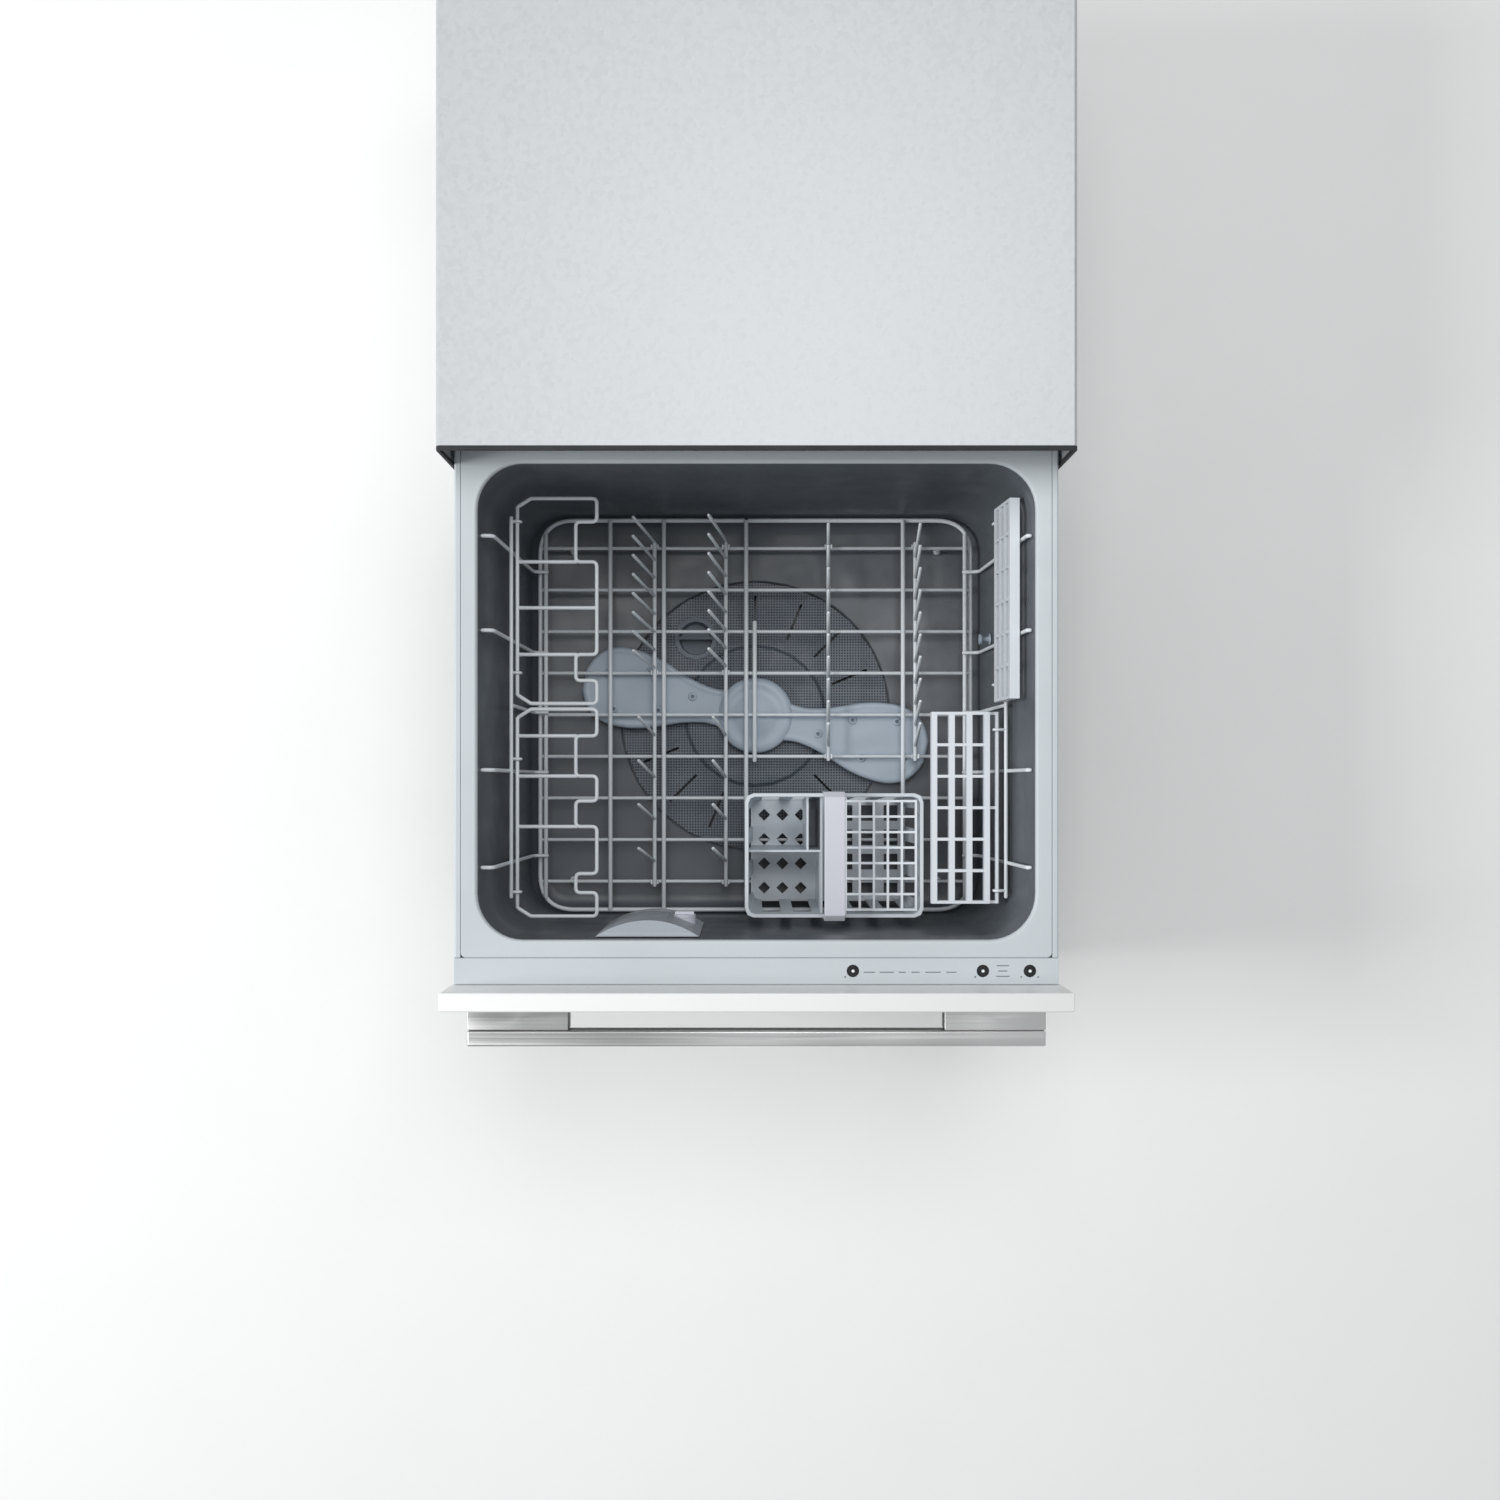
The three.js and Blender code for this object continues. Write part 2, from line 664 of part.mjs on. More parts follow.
function lidPanel() {
  const plate = alongZ(lidRing(lidOverlap, openingCorner), lidBottom, lidBottom + lidPlate, 3);
  const rimShape = lidRing(lidOverlap, openingCorner);
  rimShape.holes.push(lidRing(lidOverlap - 2, openingCorner - 2));
  const rim = alongZ(rimShape, lidBottom, lidBottom + lidRimHeight, 3);
  const ribBottom = lidBottom + 1;
  const ribTop = lidBottom + lidRimHeight - 5;
  const innerWidth = lidHalfWidth - 1;
  const innerDepth = lidHalfDepth - 1;
  const crossRibs = [-1, 1].map((k) => {
    const y = closedCentreY + (k * openingDepth) / 6;
    return block(-innerWidth, innerWidth, y - 1.2, y + 1.2, ribBottom, ribTop);
  });
  const longRibs = [-1, 1].map((k) => {
    const x = (k * openingWidth) / 6;
    const rib = block(x - 1.2, x + 1.2, -innerDepth, innerDepth, ribBottom, ribTop - 3);
    return rib.translate(0, closedCentreY, 0);
  });
  const pins = lidPinPlaces.flatMap((y) => [-1, 1].map((side) => {
    const ends = [side * (lidHalfWidth - 1), side * (lidHalfWidth + lidPinReach)].sort((a, b) => a - b);
    return barAlongX(ends[0], ends[1], y, lidPinZ, lidPinRadius, 6);
  }));
  return join(plate, rim, crossRibs, longRibs, pins);
}

function lidSeal() {
  const outline = lidRing(1.5 + lidSealWidth, openingCorner);
  outline.holes.push(lidRing(1.5, openingCorner));
  return alongZ(outline, lidSealBottom, lidSealBottom + lidSealHeight, 3);
}

// A flat drive at each side. The lid's pins ride in its upright slots.
function lidLift() {
  const outer = chassisInner - clearance;
  const bottom = rimTop + 4;
  const back = closedCentreY + liftLength / 2;
  const front = closedCentreY - liftLength / 2;
  const side = roundRect(front, back, bottom, bottom + liftHeight, 8);
  const body = alongX(side, outer - liftThickness, outer, 1);
  const slotHalf = lidPinRadius + 0.35;
  const slotBottom = lidPinZ - lidTravel - slotHalf;
  const slots = lidPinPlaces.map((y) => {
    const slot = roundRect(y - slotHalf, y + slotHalf, slotBottom, lidPinZ + slotHalf, slotHalf - 0.1);
    return alongX(slot, outer - 2 * liftThickness, outer + 1, 1);
  });
  const middleZ = bottom + liftHeight / 2;
  const face = outer - liftThickness;
  const pocketShape = roundRect(closedCentreY - 60, closedCentreY + 60, middleZ - 14, middleZ + 14, 10);
  const gearboxPocket = alongX(pocketShape, face - 1, face + 3, 1);
  const gearCover = barAlongX(face + 1, face + 4, closedCentreY, middleZ, 11, 8);
  return join(cut(body, slots, gearboxPocket), gearCover);
}

piece('lid_panel', lidPanel(), 'rim');
piece('lid_seal', lidSeal(), 'rubber');
pair('lid_lift', lidLift(), 'darkPlastic');

// ---------------------------------------------------------------- tub and rim
const skinBottom = rimTop - controlWall;
const controlModuleTop = skinBottom - clearance - buttonFlange - buttonTravel - clearance;
const controlModuleBottom = controlModuleTop - 32;

function tubRing(z, outset, corner) {
  return ring(0, tubCentreY, tubHalfWidth(z) + outset, tubHalfDepth(z) + outset, corner, z);
}

function tubInside() {
  const low = tubFloor + floorFillet;
  return loft([
    tubRing(tubFloor, -floorFillet, openingCorner - floorFillet - 3),
    tubRing(tubFloor + 0.3 * floorFillet, -0.3 * floorFillet, openingCorner - 0.3 * floorFillet - 3),
    tubRing(low, 0, openingCorner - 3),
    tubRing(rimTop - 3, 0, openingCorner),
    tubRing(rimTop + 1, 3, openingCorner + 3),
  ]);
}

function tubOutside() {
  const bottom = tubFloor - tubWall;
  const low = bottom + floorFillet;
  const rise = 0.3 * floorFillet;
  return loft([
    tubRing(bottom, tubWall - floorFillet, openingCorner - floorFillet),
    tubRing(bottom + rise, tubWall - rise, openingCorner - rise),
    tubRing(low, tubWall, openingCorner),
    tubRing(rimTop - 1, tubWall, openingCorner + tubWall),
  ]);
}

const flangeHalfWidth = rimHalfWidth - sideTrimWidth - clearance;

function rimFlange() {
  const front = controlSeam + clearance;
  const flangeShape = roundRect(-flangeHalfWidth, flangeHalfWidth, front, rimRearEdge, 5);
  const flange = alongZ(flangeShape, rimTop - rimThickness, rimTop, 2);
  const lipShape = roundRect(-flangeHalfWidth, flangeHalfWidth, front, rimRearEdge, 5);
  const inner = flangeHalfWidth - 2;
  lipShape.holes.push(roundRect(-inner, inner, front + 2, rimRearEdge - 2, 3));
  return [flange, alongZ(lipShape, rimTop - rimLip, rimTop - rimThickness + 0.5, 2)];
}

function tub() {
  const well = disc(wellRadius + tubWall, wellLedgeZ - tubWall, tubFloor - 1, wellSides);
  const lowerWell = disc(wellLedgeRadius + tubWall, wellFloor - tubWall, wellLedgeZ, wellSides);
  const ribFront = panelRear + clearance + frameSheet + clearance;
  const ribTop = controlModuleBottom - 15;
  const frontRibs = [-0.7714, -0.2571, 0.2571, 0.7714].map((share) => {
    const x = (share * openingWidth) / 2;
    return block(x - 1.5, x + 1.5, ribFront, openingFront - 1, 110, ribTop);
  });
  const outside = join(tubOutside(), rimFlange(), frontRibs, onWellAxis(well), onWellAxis(lowerWell));
  const wellCut = disc(wellRadius, wellLedgeZ, tubFloor + 1, wellSides);
  const lowerCut = disc(wellLedgeRadius, wellFloor, wellLedgeZ + 1, wellSides);
  const shaftHole = disc(shaftRadius + 1, wellFloor - 10, wellFloor + 5, 8);
  return cut(outside, tubInside(), [wellCut, lowerCut, shaftHole].map(onWellAxis));
}

function sideTrim() {
  const outer = rimHalfWidth;
  const inner = outer - sideTrimWidth;
  const bottom = rimTop - sideTrimHeight;
  const profile = polygon([
    [inner, rimTop], [inner, bottom + 2], [inner + 2, bottom], [outer - 1, bottom], [outer, bottom + 1],
    [outer, rimTop - 1.5], [outer - 1.5, rimTop],
  ]);
  return alongY(profile, controlSeam + clearance, rimRearEdge);
}

piece('tub', tub(), 'tub');
pair('side_trim', sideTrim(), 'rim');

// ---------------------------------------------------------------- controls
const buttonY = panelRear + buttonFromPanel;
const controlFront = panelRear + clearance;

function controlPanel() {
  const rear = controlSeam;
  const half = rimHalfWidth;
  const bottom = rimTop - controlHeight;
  const profile = polygon([
    [controlFront, bottom], [rear, bottom], [rear, rimTop - 1], [rear - 1, rimTop],
    [controlFront + 0.5, rimTop], [controlFront, rimTop - 0.5],
  ]);
  const body = alongX(profile, -half, half);
  const front = controlFront + controlWall;
  const hollow = block(-half + 3, half - 3, front, rear - controlWall, bottom - 1, skinBottom);
  const holeRadius = (buttonRadius + clearance) / Math.cos(Math.PI / 12);
  const holes = buttonCentres.map((x) => (
    disc(holeRadius, skinBottom - 5, rimTop + 5, 12).translate(x, buttonY, 0)));
  return cut(body, hollow, holes);
}

function button(x) {
  const top = rimTop + 0.4;
  const flangeTop = skinBottom - clearance;
  const flangeRadius = buttonRadius + 1.4;
  const profile = [
    [0, flangeTop - buttonFlange], [flangeRadius, flangeTop - buttonFlange], [flangeRadius, flangeTop],
    [buttonRadius, flangeTop], [buttonRadius, top - 0.4], [buttonRadius - 0.4, top], [0, top],
  ];
  return turned(profile, 12).translate(x, buttonY, 0);
}

function controlModule() {
  const top = controlModuleTop;
  const left = buttonCentres[0] - 26;
  const right = rimHalfWidth - 14;
  const front = controlFront + controlWall + clearance;
  const rear = controlSeam - controlWall - clearance;
  const box = alongZ(roundRect(left, right, front, rear, 2), top - 24, top, 2);
  const plugs = [0.3, 0.55, 0.8].map((share) => {
    const x = left + share * (right - left);
    return block(x - 9, x + 9, front + 4, rear - 4, controlModuleBottom, top - 23);
  });
  return join(box, plugs);
}

piece('control_panel', controlPanel(), 'rim');
piece('control_module', controlModule(), 'darkPlastic');
const buttonNames = ['program_button', 'option_button', 'power_button'];
buttonCentres.forEach((x, i) => piece(buttonNames[i], button(x), 'button'));

// ---------------------------------------------------------------- front frame, panel and handle
const frameHalfWidth = outerMouthX - 2.6;

function frontFrame() {
  const front = panelRear + clearance;
  const back = openingFront - tubWall - 4;
  const bottom = panelBottom + 14;
  const top = rimTop - controlHeight - clearance;
  const half = frameHalfWidth;
  const t = frameSheet;
  const outline = polygon([
    [-half, back], [-half, front], [half, front], [half, back], [half - t, back], [half - t, front + t],
    [-half + t, front + t], [-half + t, back],
  ]);
  const sheet = alongZ(outline, bottom, top);
  const windowTop = runnerZ - 40;
  const windows = [-1, 0, 1].map((k) => {
    const x = k * 165;
    return alongY(roundRect(x - 58, x + 58, bottom + 25, windowTop, 12), front - 5, front + 5, 1);
  });
  const sideWindow = roundRect(front + 10, back - 6, runnerZ - 40, runnerZ + 60, 5);
  return cut(sheet, windows, alongX(sideWindow, -half - 5, half + 5, 1));
}

const barBack = panelFront - handleReach;
const handleTop = panelTop - handleDrop;

function handleMount() {
  const outer = handleWidth / 2;
  const inner = outer - handleMountWidth;
  const bottom = handleTop - handleHeight + 1;
  return bevelledSlab(inner, outer, barBack + clearance, panelFront - clearance, bottom, handleTop - 1, 0.8);
}

function frontPanel() {
  const half = panelWidth / 2;
  return bevelledSlab(-half, half, panelFront, panelRear, panelBottom, panelTop, panelEdge);
}

function handleBar() {
  const half = handleWidth / 2;
  const bottom = handleTop - handleHeight;
  return bevelledSlab(-half, half, barBack - handleDepth, barBack, bottom, handleTop, handleEdge);
}

piece('front_frame', frontFrame(), 'zinc');
piece('front_panel', frontPanel(), 'panel');
piece('handle_bar', handleBar(), 'stainless');
pair('handle_mount', handleMount(), 'stainless');

// ---------------------------------------------------------------- wash system
const motorTop = wellFloor - tubWall - clearance;
const impellerBottom = wellFloor + 2.5;
const filterPlateZ = wellLedgeZ + clearance;
const filterPlateTop = filterPlateZ + filterPlateThickness;
const drainFilterX = -70;
const drainFilterY = Math.sqrt(drainFilterPlace ** 2 - drainFilterX ** 2);

function motorHousing() {
  const cup = turned([
    [0, motorBottom], [motorRadius - 5, motorBottom], [motorRadius, motorBottom + 5],
    [motorRadius, motorTop - 3], [motorRadius + 8, motorTop - 3], [motorRadius + 8, motorTop],
    [motorRadius - motorWall, motorTop],
    [motorRadius - motorWall, motorBottom + motorWall], [0, motorBottom + motorWall],
  ], 16);
  const ears = [0, 1, 2, 3].map((k) => {
    const ear = alongZ(roundRect(motorRadius - 2, motorRadius + 16, -7, 7, 4), motorTop - 3, motorTop, 1);
    return ear.rotateZ(((k + 0.5) * Math.PI) / 2);
  });
  const fins = [0, 2, 3].map((k) => {
    const fin = block(motorRadius - 2, motorRadius + 6, -1.2, 1.2, motorBottom + 6, motorTop - 2);
    return fin.rotateZ((k * Math.PI) / 2);
  });
  return join(onWellAxis(cup), ears.map(onWellAxis), fins.map(onWellAxis));
}

function motorRotor() {
  const low = motorBottom + motorWall + clearance;
  const radius = motorRadius - motorWall - 3;
  return onWellAxis(turned([
    [0, low], [radius, low], [radius, motorTop - 5], [radius - 10, motorTop - 5], [radius - 14, low + 8],
    [shaftRadius, low + 8], [shaftRadius, wellLedgeZ - 3], [0, wellLedgeZ - 3],
  ], 16));
}

function washImpeller() {
  const hubTop = wellLedgeZ - 3.5;
  const base = turned([
    [shaftRadius + clearance, impellerBottom], [impellerRadius, impellerBottom],
    [impellerRadius, impellerBottom + 1.6], [shaftRadius + 6, impellerBottom + 2.4],
    [shaftRadius + 4, hubTop], [shaftRadius + clearance, hubTop], [shaftRadius + clearance, impellerBottom],
  ], 12);
  const vanes = [0, 1, 2, 3, 4].map((k) => {
    const vane = new THREE.Shape();
    vane.moveTo(shaftRadius + 3, -1);
    vane.quadraticCurveTo(22, 0, impellerRadius - 1, 10);
    vane.lineTo(impellerRadius - 2, 12);
    vane.quadraticCurveTo(21, 3, shaftRadius + 3, 1);
    return alongZ(vane, impellerBottom + 1, impellerBottom + 7, 1).rotateZ((k * 2 * Math.PI) / 5);
  });
  return join(onWellAxis(base), vanes.map(onWellAxis));
}

function heaterPlate() {
  const low = wellFloor + clearance;
  return onWellAxis(turned([
    [impellerRadius + 8, low], [86, low], [86, low + 1.5], [82, low + 3.5], [impellerRadius + 12, low + 3.5],
    [impellerRadius + 8, low + 1.5], [impellerRadius + 8, low],
  ], 18));
}

// A disc with a raised centre that carries the post for the spray arm, and slots all round.
function filterPlate() {
  const outer = wellRadius - clearance;
  const dome = filterDomeTop - filterPlateThickness;
  const collarTop = sprayBottom - 1 - clearance;
  const body = turned([
    [0, dome], [filterDomeRadius - 4, dome], [filterDomeRadius + 2, filterPlateZ], [outer, filterPlateZ],
    [outer, filterPlateTop], [filterDomeRadius + 4, filterPlateTop], [filterDomeRadius, filterDomeTop],
    [postRadius + 6, filterDomeTop], [postRadius + 6, collarTop], [postRadius, collarTop],
    [postRadius, postTop], [0, postTop],
  ], wellSides);
  const slotCount = 16;
  const slots = [];
  for (let k = 0; k < slotCount; k += 1) {
    const angle = (2 * Math.PI * k) / slotCount;
    const across = 120 * Math.cos(angle) - drainFilterX;
    const back = 120 * Math.sin(angle) - drainFilterY;
    if (Math.hypot(across, back) < drainFilterRadius + 17) continue;
    slots.push(block(98, 142, -1.3, 1.3, filterPlateZ - 2, filterPlateTop + 2).rotateZ(angle));
  }
  const holeRadius = (drainFilterRadius - 3 + clearance) / Math.cos(Math.PI / 16);
  const filterHole = disc(holeRadius, filterPlateZ - 2, filterPlateTop + 2, 16);
  const holes = [...slots, filterHole.translate(drainFilterX, drainFilterY, 0)];
  return cut(onWellAxis(body), holes.map(onWellAxis));
}

function drainFilter() {
  const bottom = wellFloor + 3;
  const low = filterPlateTop + clearance;
  const cup = turned([
    [0, bottom], [drainFilterRadius - 5, bottom], [drainFilterRadius - 3, low], [drainFilterRadius, low],
    [drainFilterRadius, low + 1.5], [drainFilterRadius - 5, low + 1.5], [drainFilterRadius - 7, bottom + 2],
    [0, bottom + 2],
  ], 14);
  const grip = block(-drainFilterRadius + 5, drainFilterRadius - 5, -1.5, 1.5, bottom + 1, low + 4.5);
  return onWellAxis(join(cup, grip).translate(drainFilterX, drainFilterY, 0));
}

// Two broad wings that widen away from the hub. The list gives half the width at distances from the axis.
function sprayArm() {
  const halfWidths = [
    [38, 20], [60, 21], [82, 26], [100, 33], [117, 40], [140, 45.5], [165, 47], [185, 41], [198, 27],
    [sprayReach, 8],
  ];
  const side = halfWidths.map(([reach, half]) => [reach, -half]);
  const back = halfWidths.map(([reach, half]) => [reach, half]).reverse();
  const wing = [...side, ...back];
  const outline = polygon([...wing, ...wing.map(([x, y]) => [-x, -y])]);
  const bevel = 2;
  const options = {
    depth: sprayThickness - 2 * bevel,
    bevelThickness: bevel,
    bevelSize: bevel,
    bevelOffset: -bevel,
    bevelSegments: 1,
    curveSegments: 1,
  };
  const wings = new THREE.ExtrudeGeometry(outline, options).translate(0, 0, sprayBottom + bevel);
  const top = sprayBottom + sprayThickness;
  const hub = turned([
    [0, postTop + 0.6], [postRadius + 0.4, postTop + 0.6], [postRadius + 0.4, sprayBottom - 1],
    [postRadius + 12, sprayBottom - 1], [sprayHubRadius, sprayBottom + 1], [sprayHubRadius, top - 1],
    [sprayHubRadius - 5, top + 2], [0, top + 3.5],
  ], 18);
  const postBore = (postRadius + 0.4) / Math.cos(Math.PI / 18);
  const post = disc(postBore, sprayBottom - 5, postTop + 0.6, 18);
  const jets = [-1, 1].flatMap((end) => [[76, -6], [131, -23], [163, 27]].map(([x, y]) => (
    disc(2.4, top - 1.5, top + 5, 5).translate(end * x, end * y, 0))));
  const arm = cut(join(wings, hub), post, jets);
  return arm.rotate([0, 0, sprayRestAngle]).translate([0, tubCentreY, 0]);
}

function drainSpigot() {
  const start = tubCentreY + motorRadius + clearance;
  const z = (motorBottom + motorTop) / 2;
  const tube = barAlongY(start, start + 34, 0, z, 9, 10);
  const collar = barAlongY(start, start + 3, 0, z, 11.5, 10);
  return cut(join(tube, collar), barAlongY(start + 3, start + 40, 0, z, 6.5, 8));
}

// A short water nozzle on the right-hand wall.
function wallNozzle() {
  const z = 150;
  const wall = tubHalfWidth(z) - clearance;
  const stem = turned([
    [0, 0], [6.5, 0], [6.5, 1.2], [3, 2], [3, 9], [6, 10], [6, 12.5], [0, 13.5],
  ], 10);
  return stem.rotateY(-Math.PI / 2).translate(wall - 0.3, tubCentreY + 82, z);
}

piece('motor_housing', motorHousing(), 'darkPlastic');
piece('motor_rotor', motorRotor(), 'zinc');
piece('wash_impeller', washImpeller(), 'wash');
piece('heater_plate', heaterPlate(), 'stainless');
piece('filter_plate', filterPlate(), 'wash');
piece('drain_filter', drainFilter(), 'wash');
piece('spray_arm', sprayArm(), 'wash');
piece('drain_spigot', drainSpigot(), 'darkPlastic');
piece('wall_nozzle', wallNozzle(), 'wash');

// ---------------------------------------------------------------- dispenser
const dispenserBack = openingFront + tubEndDraft / 2 + clearance;
const dispenserRadius = ((dispenserWidth / 2) ** 2 + dispenserBulge ** 2) / (2 * dispenserBulge);
const dispenserArcY = dispenserBack + dispenserBulge - dispenserRadius;
const doorLeft = dispenserCentre - 39;
const doorBottom = dispenserBottom + 22;
const capX = dispenserCentre + 33;
const capZ = doorBottom + dispenserDoorHeight / 2;

function dispenserBulgeSolid(inset) {
  const radius = dispenserRadius - inset;
  const reach = Math.asin((dispenserBack - dispenserArcY) / radius);
  const shape = new THREE.Shape();
  shape.absarc(dispenserCentre, dispenserArcY, radius, reach, Math.PI - reach);
  return alongZ(shape, dispenserBottom, dispenserBottom + dispenserHeight, 10);
}

function dispenserBody() {
  const dome = dispenserBulgeSolid(0);
  const slopeTop = dispenserBottom + dispenserHeight;
  const beyond = dispenserBack + dispenserBulge + 5;
  const slope = polygon([[dispenserBack + 2, slopeTop + 1], [beyond, slopeTop - 12], [beyond, slopeTop + 1]]);
  const topSlope = alongX(slope, dispenserCentre - dispenserWidth, dispenserCentre + dispenserWidth);
  const pocket = block(
    doorLeft - clearance, doorLeft + dispenserDoorWidth + clearance, dispenserBack + 2, dispenserBack + 40,
    doorBottom - 6, doorBottom + dispenserDoorHeight + clearance,
  );
  const capBore = (rinseCapRadius + clearance) / Math.cos(Math.PI / 14);
  const capPocket = barAlongY(dispenserBack + 3, dispenserBack + 40, capX, capZ, capBore, 14);
  return cut(dome, topSlope, pocket, capPocket);
}

function dispenserDoor() {
  const panel = cut(dispenserBulgeSolid(0), dispenserBulgeSolid(dispenserDoorThickness));
  const right = doorLeft + dispenserDoorWidth;
  const top = doorBottom + dispenserDoorHeight;
  const frame = block(doorLeft, right, dispenserBack, dispenserBack + 40, doorBottom, top);
  const back = dispenserBack + 6;
  const catchRib = block(doorLeft + 20, doorLeft + 36, back, back + 7, top - 6, top - 2);
  return join(panel.intersect(solid(frame)), catchRib);
}

function rinseCap() {
  const back = dispenserBack + 3 + clearance;
  const face = dispenserBack + dispenserBulge - 1;
  const body = barAlongY(back, face, capX, capZ, rinseCapRadius, 14);
  const reach = rinseCapRadius - 2;
  const grip = block(capX - reach, capX + reach, face - 1, face + 3, capZ - 1.8, capZ + 1.8);
  return join(body, grip);
}

piece('dispenser_body', dispenserBody(), 'rackPlastic');
piece('dispenser_door', dispenserDoor(), 'rackPlastic');
piece('rinse_aid_cap', rinseCap(), 'handleGrey');

// ---------------------------------------------------------------- base rack
const crossPlaces = [];
for (let k = -crossCount; k <= crossCount; k += 1) crossPlaces.push(tubCentreY + k * crossPitch);
const firstCross = crossPlaces[0];
const lastCross = crossPlaces[2 * crossCount];
const rackHalfWidth = tubHalfWidth(crossWireZ) - rackSideGap;
const sideWireX = rackHalfWidth - 7;
const across = (share) => (share * openingWidth) / 2;
const longPlaces = [-sideWireX, across(-0.6154), across(-0.3883), across(-0.0389), across(0.6264), sideWireX];
const sideWireInset = 13.5; // the outermost long wires stop on the edge's bends
const rodColumns = {
  saucerLeft: across(-0.4262),
  saucerRight: across(-0.1249),
  plateLeft: across(0.3086),
  plateRight: across(0.676),
};
const clipHalf = 2.5; // half a rod clip's length
const clipWall = 2.4;
const clipGrip = 1.6; // how far a clip reaches above the middle of its rod
const frameLift = 0.3; // a side frame's feet to the outermost long wire

function rackFloor() {
  const reach = rackHalfWidth - 1;
  const crosses = crossPlaces.map((y) => crossWire(-reach, reach, y, crossWireZ, wireRadius));
  const longs = longPlaces.map((x) => {
    const inset = Math.abs(x) === sideWireX ? sideWireInset : 0;
    return longWire(x, rackFront + inset, rackRear - inset, longWireZ, thickWireRadius);
  });
  const shortFront = crossPlaces[3] - 6.4;
  const short = longWire(across(-0.003), shortFront, crossPlaces[6] + 12, longWireZ, thickWireRadius);
  return [...crosses, ...longs, short];
}

// The wire that runs round the rack's floor, closed under the middle long wire.
function rackEdge() {
  const half = rackHalfWidth;
  const z = crossWireZ;
  const seam = longPlaces[3];
  const corners = [
    vector(seam - 1.5, rackRear, z), vector(-half, rackRear, z), vector(-half, rackFront, z),
    vector(half, rackFront, z), vector(half, rackRear, z), vector(seam + 1.5, rackRear, z),
  ];
  return wire(bent(corners, rackCorner, 3), thickWireRadius);
}

// A clip on a cross wire. Its open bore grips the rod of a row of tines from below.
function rodClip(x, y) {
  const half = tineRodRadius + clipWall;
  const top = tineRodZ + clipGrip;
  const low = crossWireZ - 1;
  const shape = polygon([[x - half, low], [x + half, low], [x + half, top], [x - half, top]]);
  const bore = barAlongY(y - 2 * clipHalf, y + 2 * clipHalf, x, tineRodZ, boreFor(tineRodRadius), 8);
  return cut(alongY(shape, y - clipHalf, y + clipHalf), bore);
}

function rackFeet() {
  const bottom = tubFloor + clearance;
  const footX = sideWireX - 29;
  return [-footX, footX].flatMap((x) => [firstCross, lastCross].map((y) => (
    wire([vector(x, y, bottom), vector(x, y, crossWireZ)], thickWireRadius))));
}

const clipPlaces = {
  saucerLeft: [lastCross, crossPlaces[5], firstCross],
  saucerRight: [lastCross, crossPlaces[5], firstCross],
  plateLeft: [lastCross, crossPlaces[3]],
  plateRight: [lastCross, crossPlaces[3]],
};

function baseRack() {
  const clips = Object.entries(clipPlaces).flatMap(([row, places]) => (
    places.map((y) => rodClip(rodColumns[row], y))));
  return join(rackFloor(), rackEdge(), clips, rackFeet());
}

piece('base_rack', baseRack(), 'coatedWire');

// ---------------------------------------------------------------- side frames
// A wire frame stands on each outermost long wire. It carries the hinge ears of the cup racks.
const uprightPlaces = [163.95, 70.95, -66.55, -162.55].map((along) => tubCentreY + along);
const leftUprightX = openingWidth / 2 - leftUprightInset;
const leftRailX = leftUprightX - railAboveWire;
const rightRailX = openingWidth / 2 - rightRailInset;
const cupRackAxis = openingWidth / 2 - cupRackInset;
const slatRackAxis = openingWidth / 2 - slatRackInset;
const frameFootZ = longWireTop + frameLift + wireRadius;
const railInset = 26;
const leftEarPlaces = [193.95, 35.95, -54.05, -193.05].map((along) => tubCentreY + along);
const rightEarPlaces = [191.65, 23.35, -23.45, -191.75].map((along) => tubCentreY + along);

// A side wire stands over the long wire, climbs past the rail and ends in a hook at the tub's wall.
function sideHook(side, y, lowX, topX) {
  const hookZ = rimTop - 14;
  const wallX = tubHalfWidth(hookZ - 2 * wireRadius) - clearance;
  const corners = [
    vector(side * (sideWireX - 4), y, frameFootZ), vector(side * lowX, y, frameFootZ + 1),
    vector(side * topX, y, hookZ), vector(side * wallX, y, hookZ),
  ];
  return wire(bent(corners, 12, 2), wireRadius);
}

// A small ear on the rail, with a bore round a cup rack's hinge wire.
function hingeEar(side, y, axis, railX) {
  const shape = polygon([
    [side * (axis - 5), cupRackZ - 5], [side * (axis + 4), cupRackZ - 5],
    [side * (railX + 1.5), sideRailZ - 2], [side * (railX + 1.5), sideRailZ + 1.5],
    [side * (axis + 2), sideRailZ + 2], [side * (axis - 5), cupRackZ + 4],
  ]);
  const ear = alongY(shape, y - 3, y + 3);
  return cut(ear, barAlongY(y - 10, y + 10, side * axis, cupRackZ, boreFor(wireRadius), 8));
}

// A short wire in the wide gap between the middle hooks. It ends under the rail.
function strut(side, lowX, railX) {
  const y = (uprightPlaces[1] + uprightPlaces[2]) / 2;
  const corners = [
    vector(side * (sideWireX - 4), y, frameFootZ), vector(side * lowX, y, frameFootZ + 1),
    vector(side * railX, y, sideRailZ),
  ];
  return wire(bent(corners, 12, 2), wireRadius);
}

function sideFrame(side, railX, lowX, topX, axis, earPlaces) {
  const hooks = [...uprightPlaces.map((y) => sideHook(side, y, lowX, topX)), strut(side, lowX, railX)];
  const rail = longWire(side * railX, rackFront + railInset, rackRear - railInset, sideRailZ, wireRadius);
  const ears = earPlaces.map((y) => hingeEar(side, y, axis, railX));
  return join(rail, hooks, ears);
}

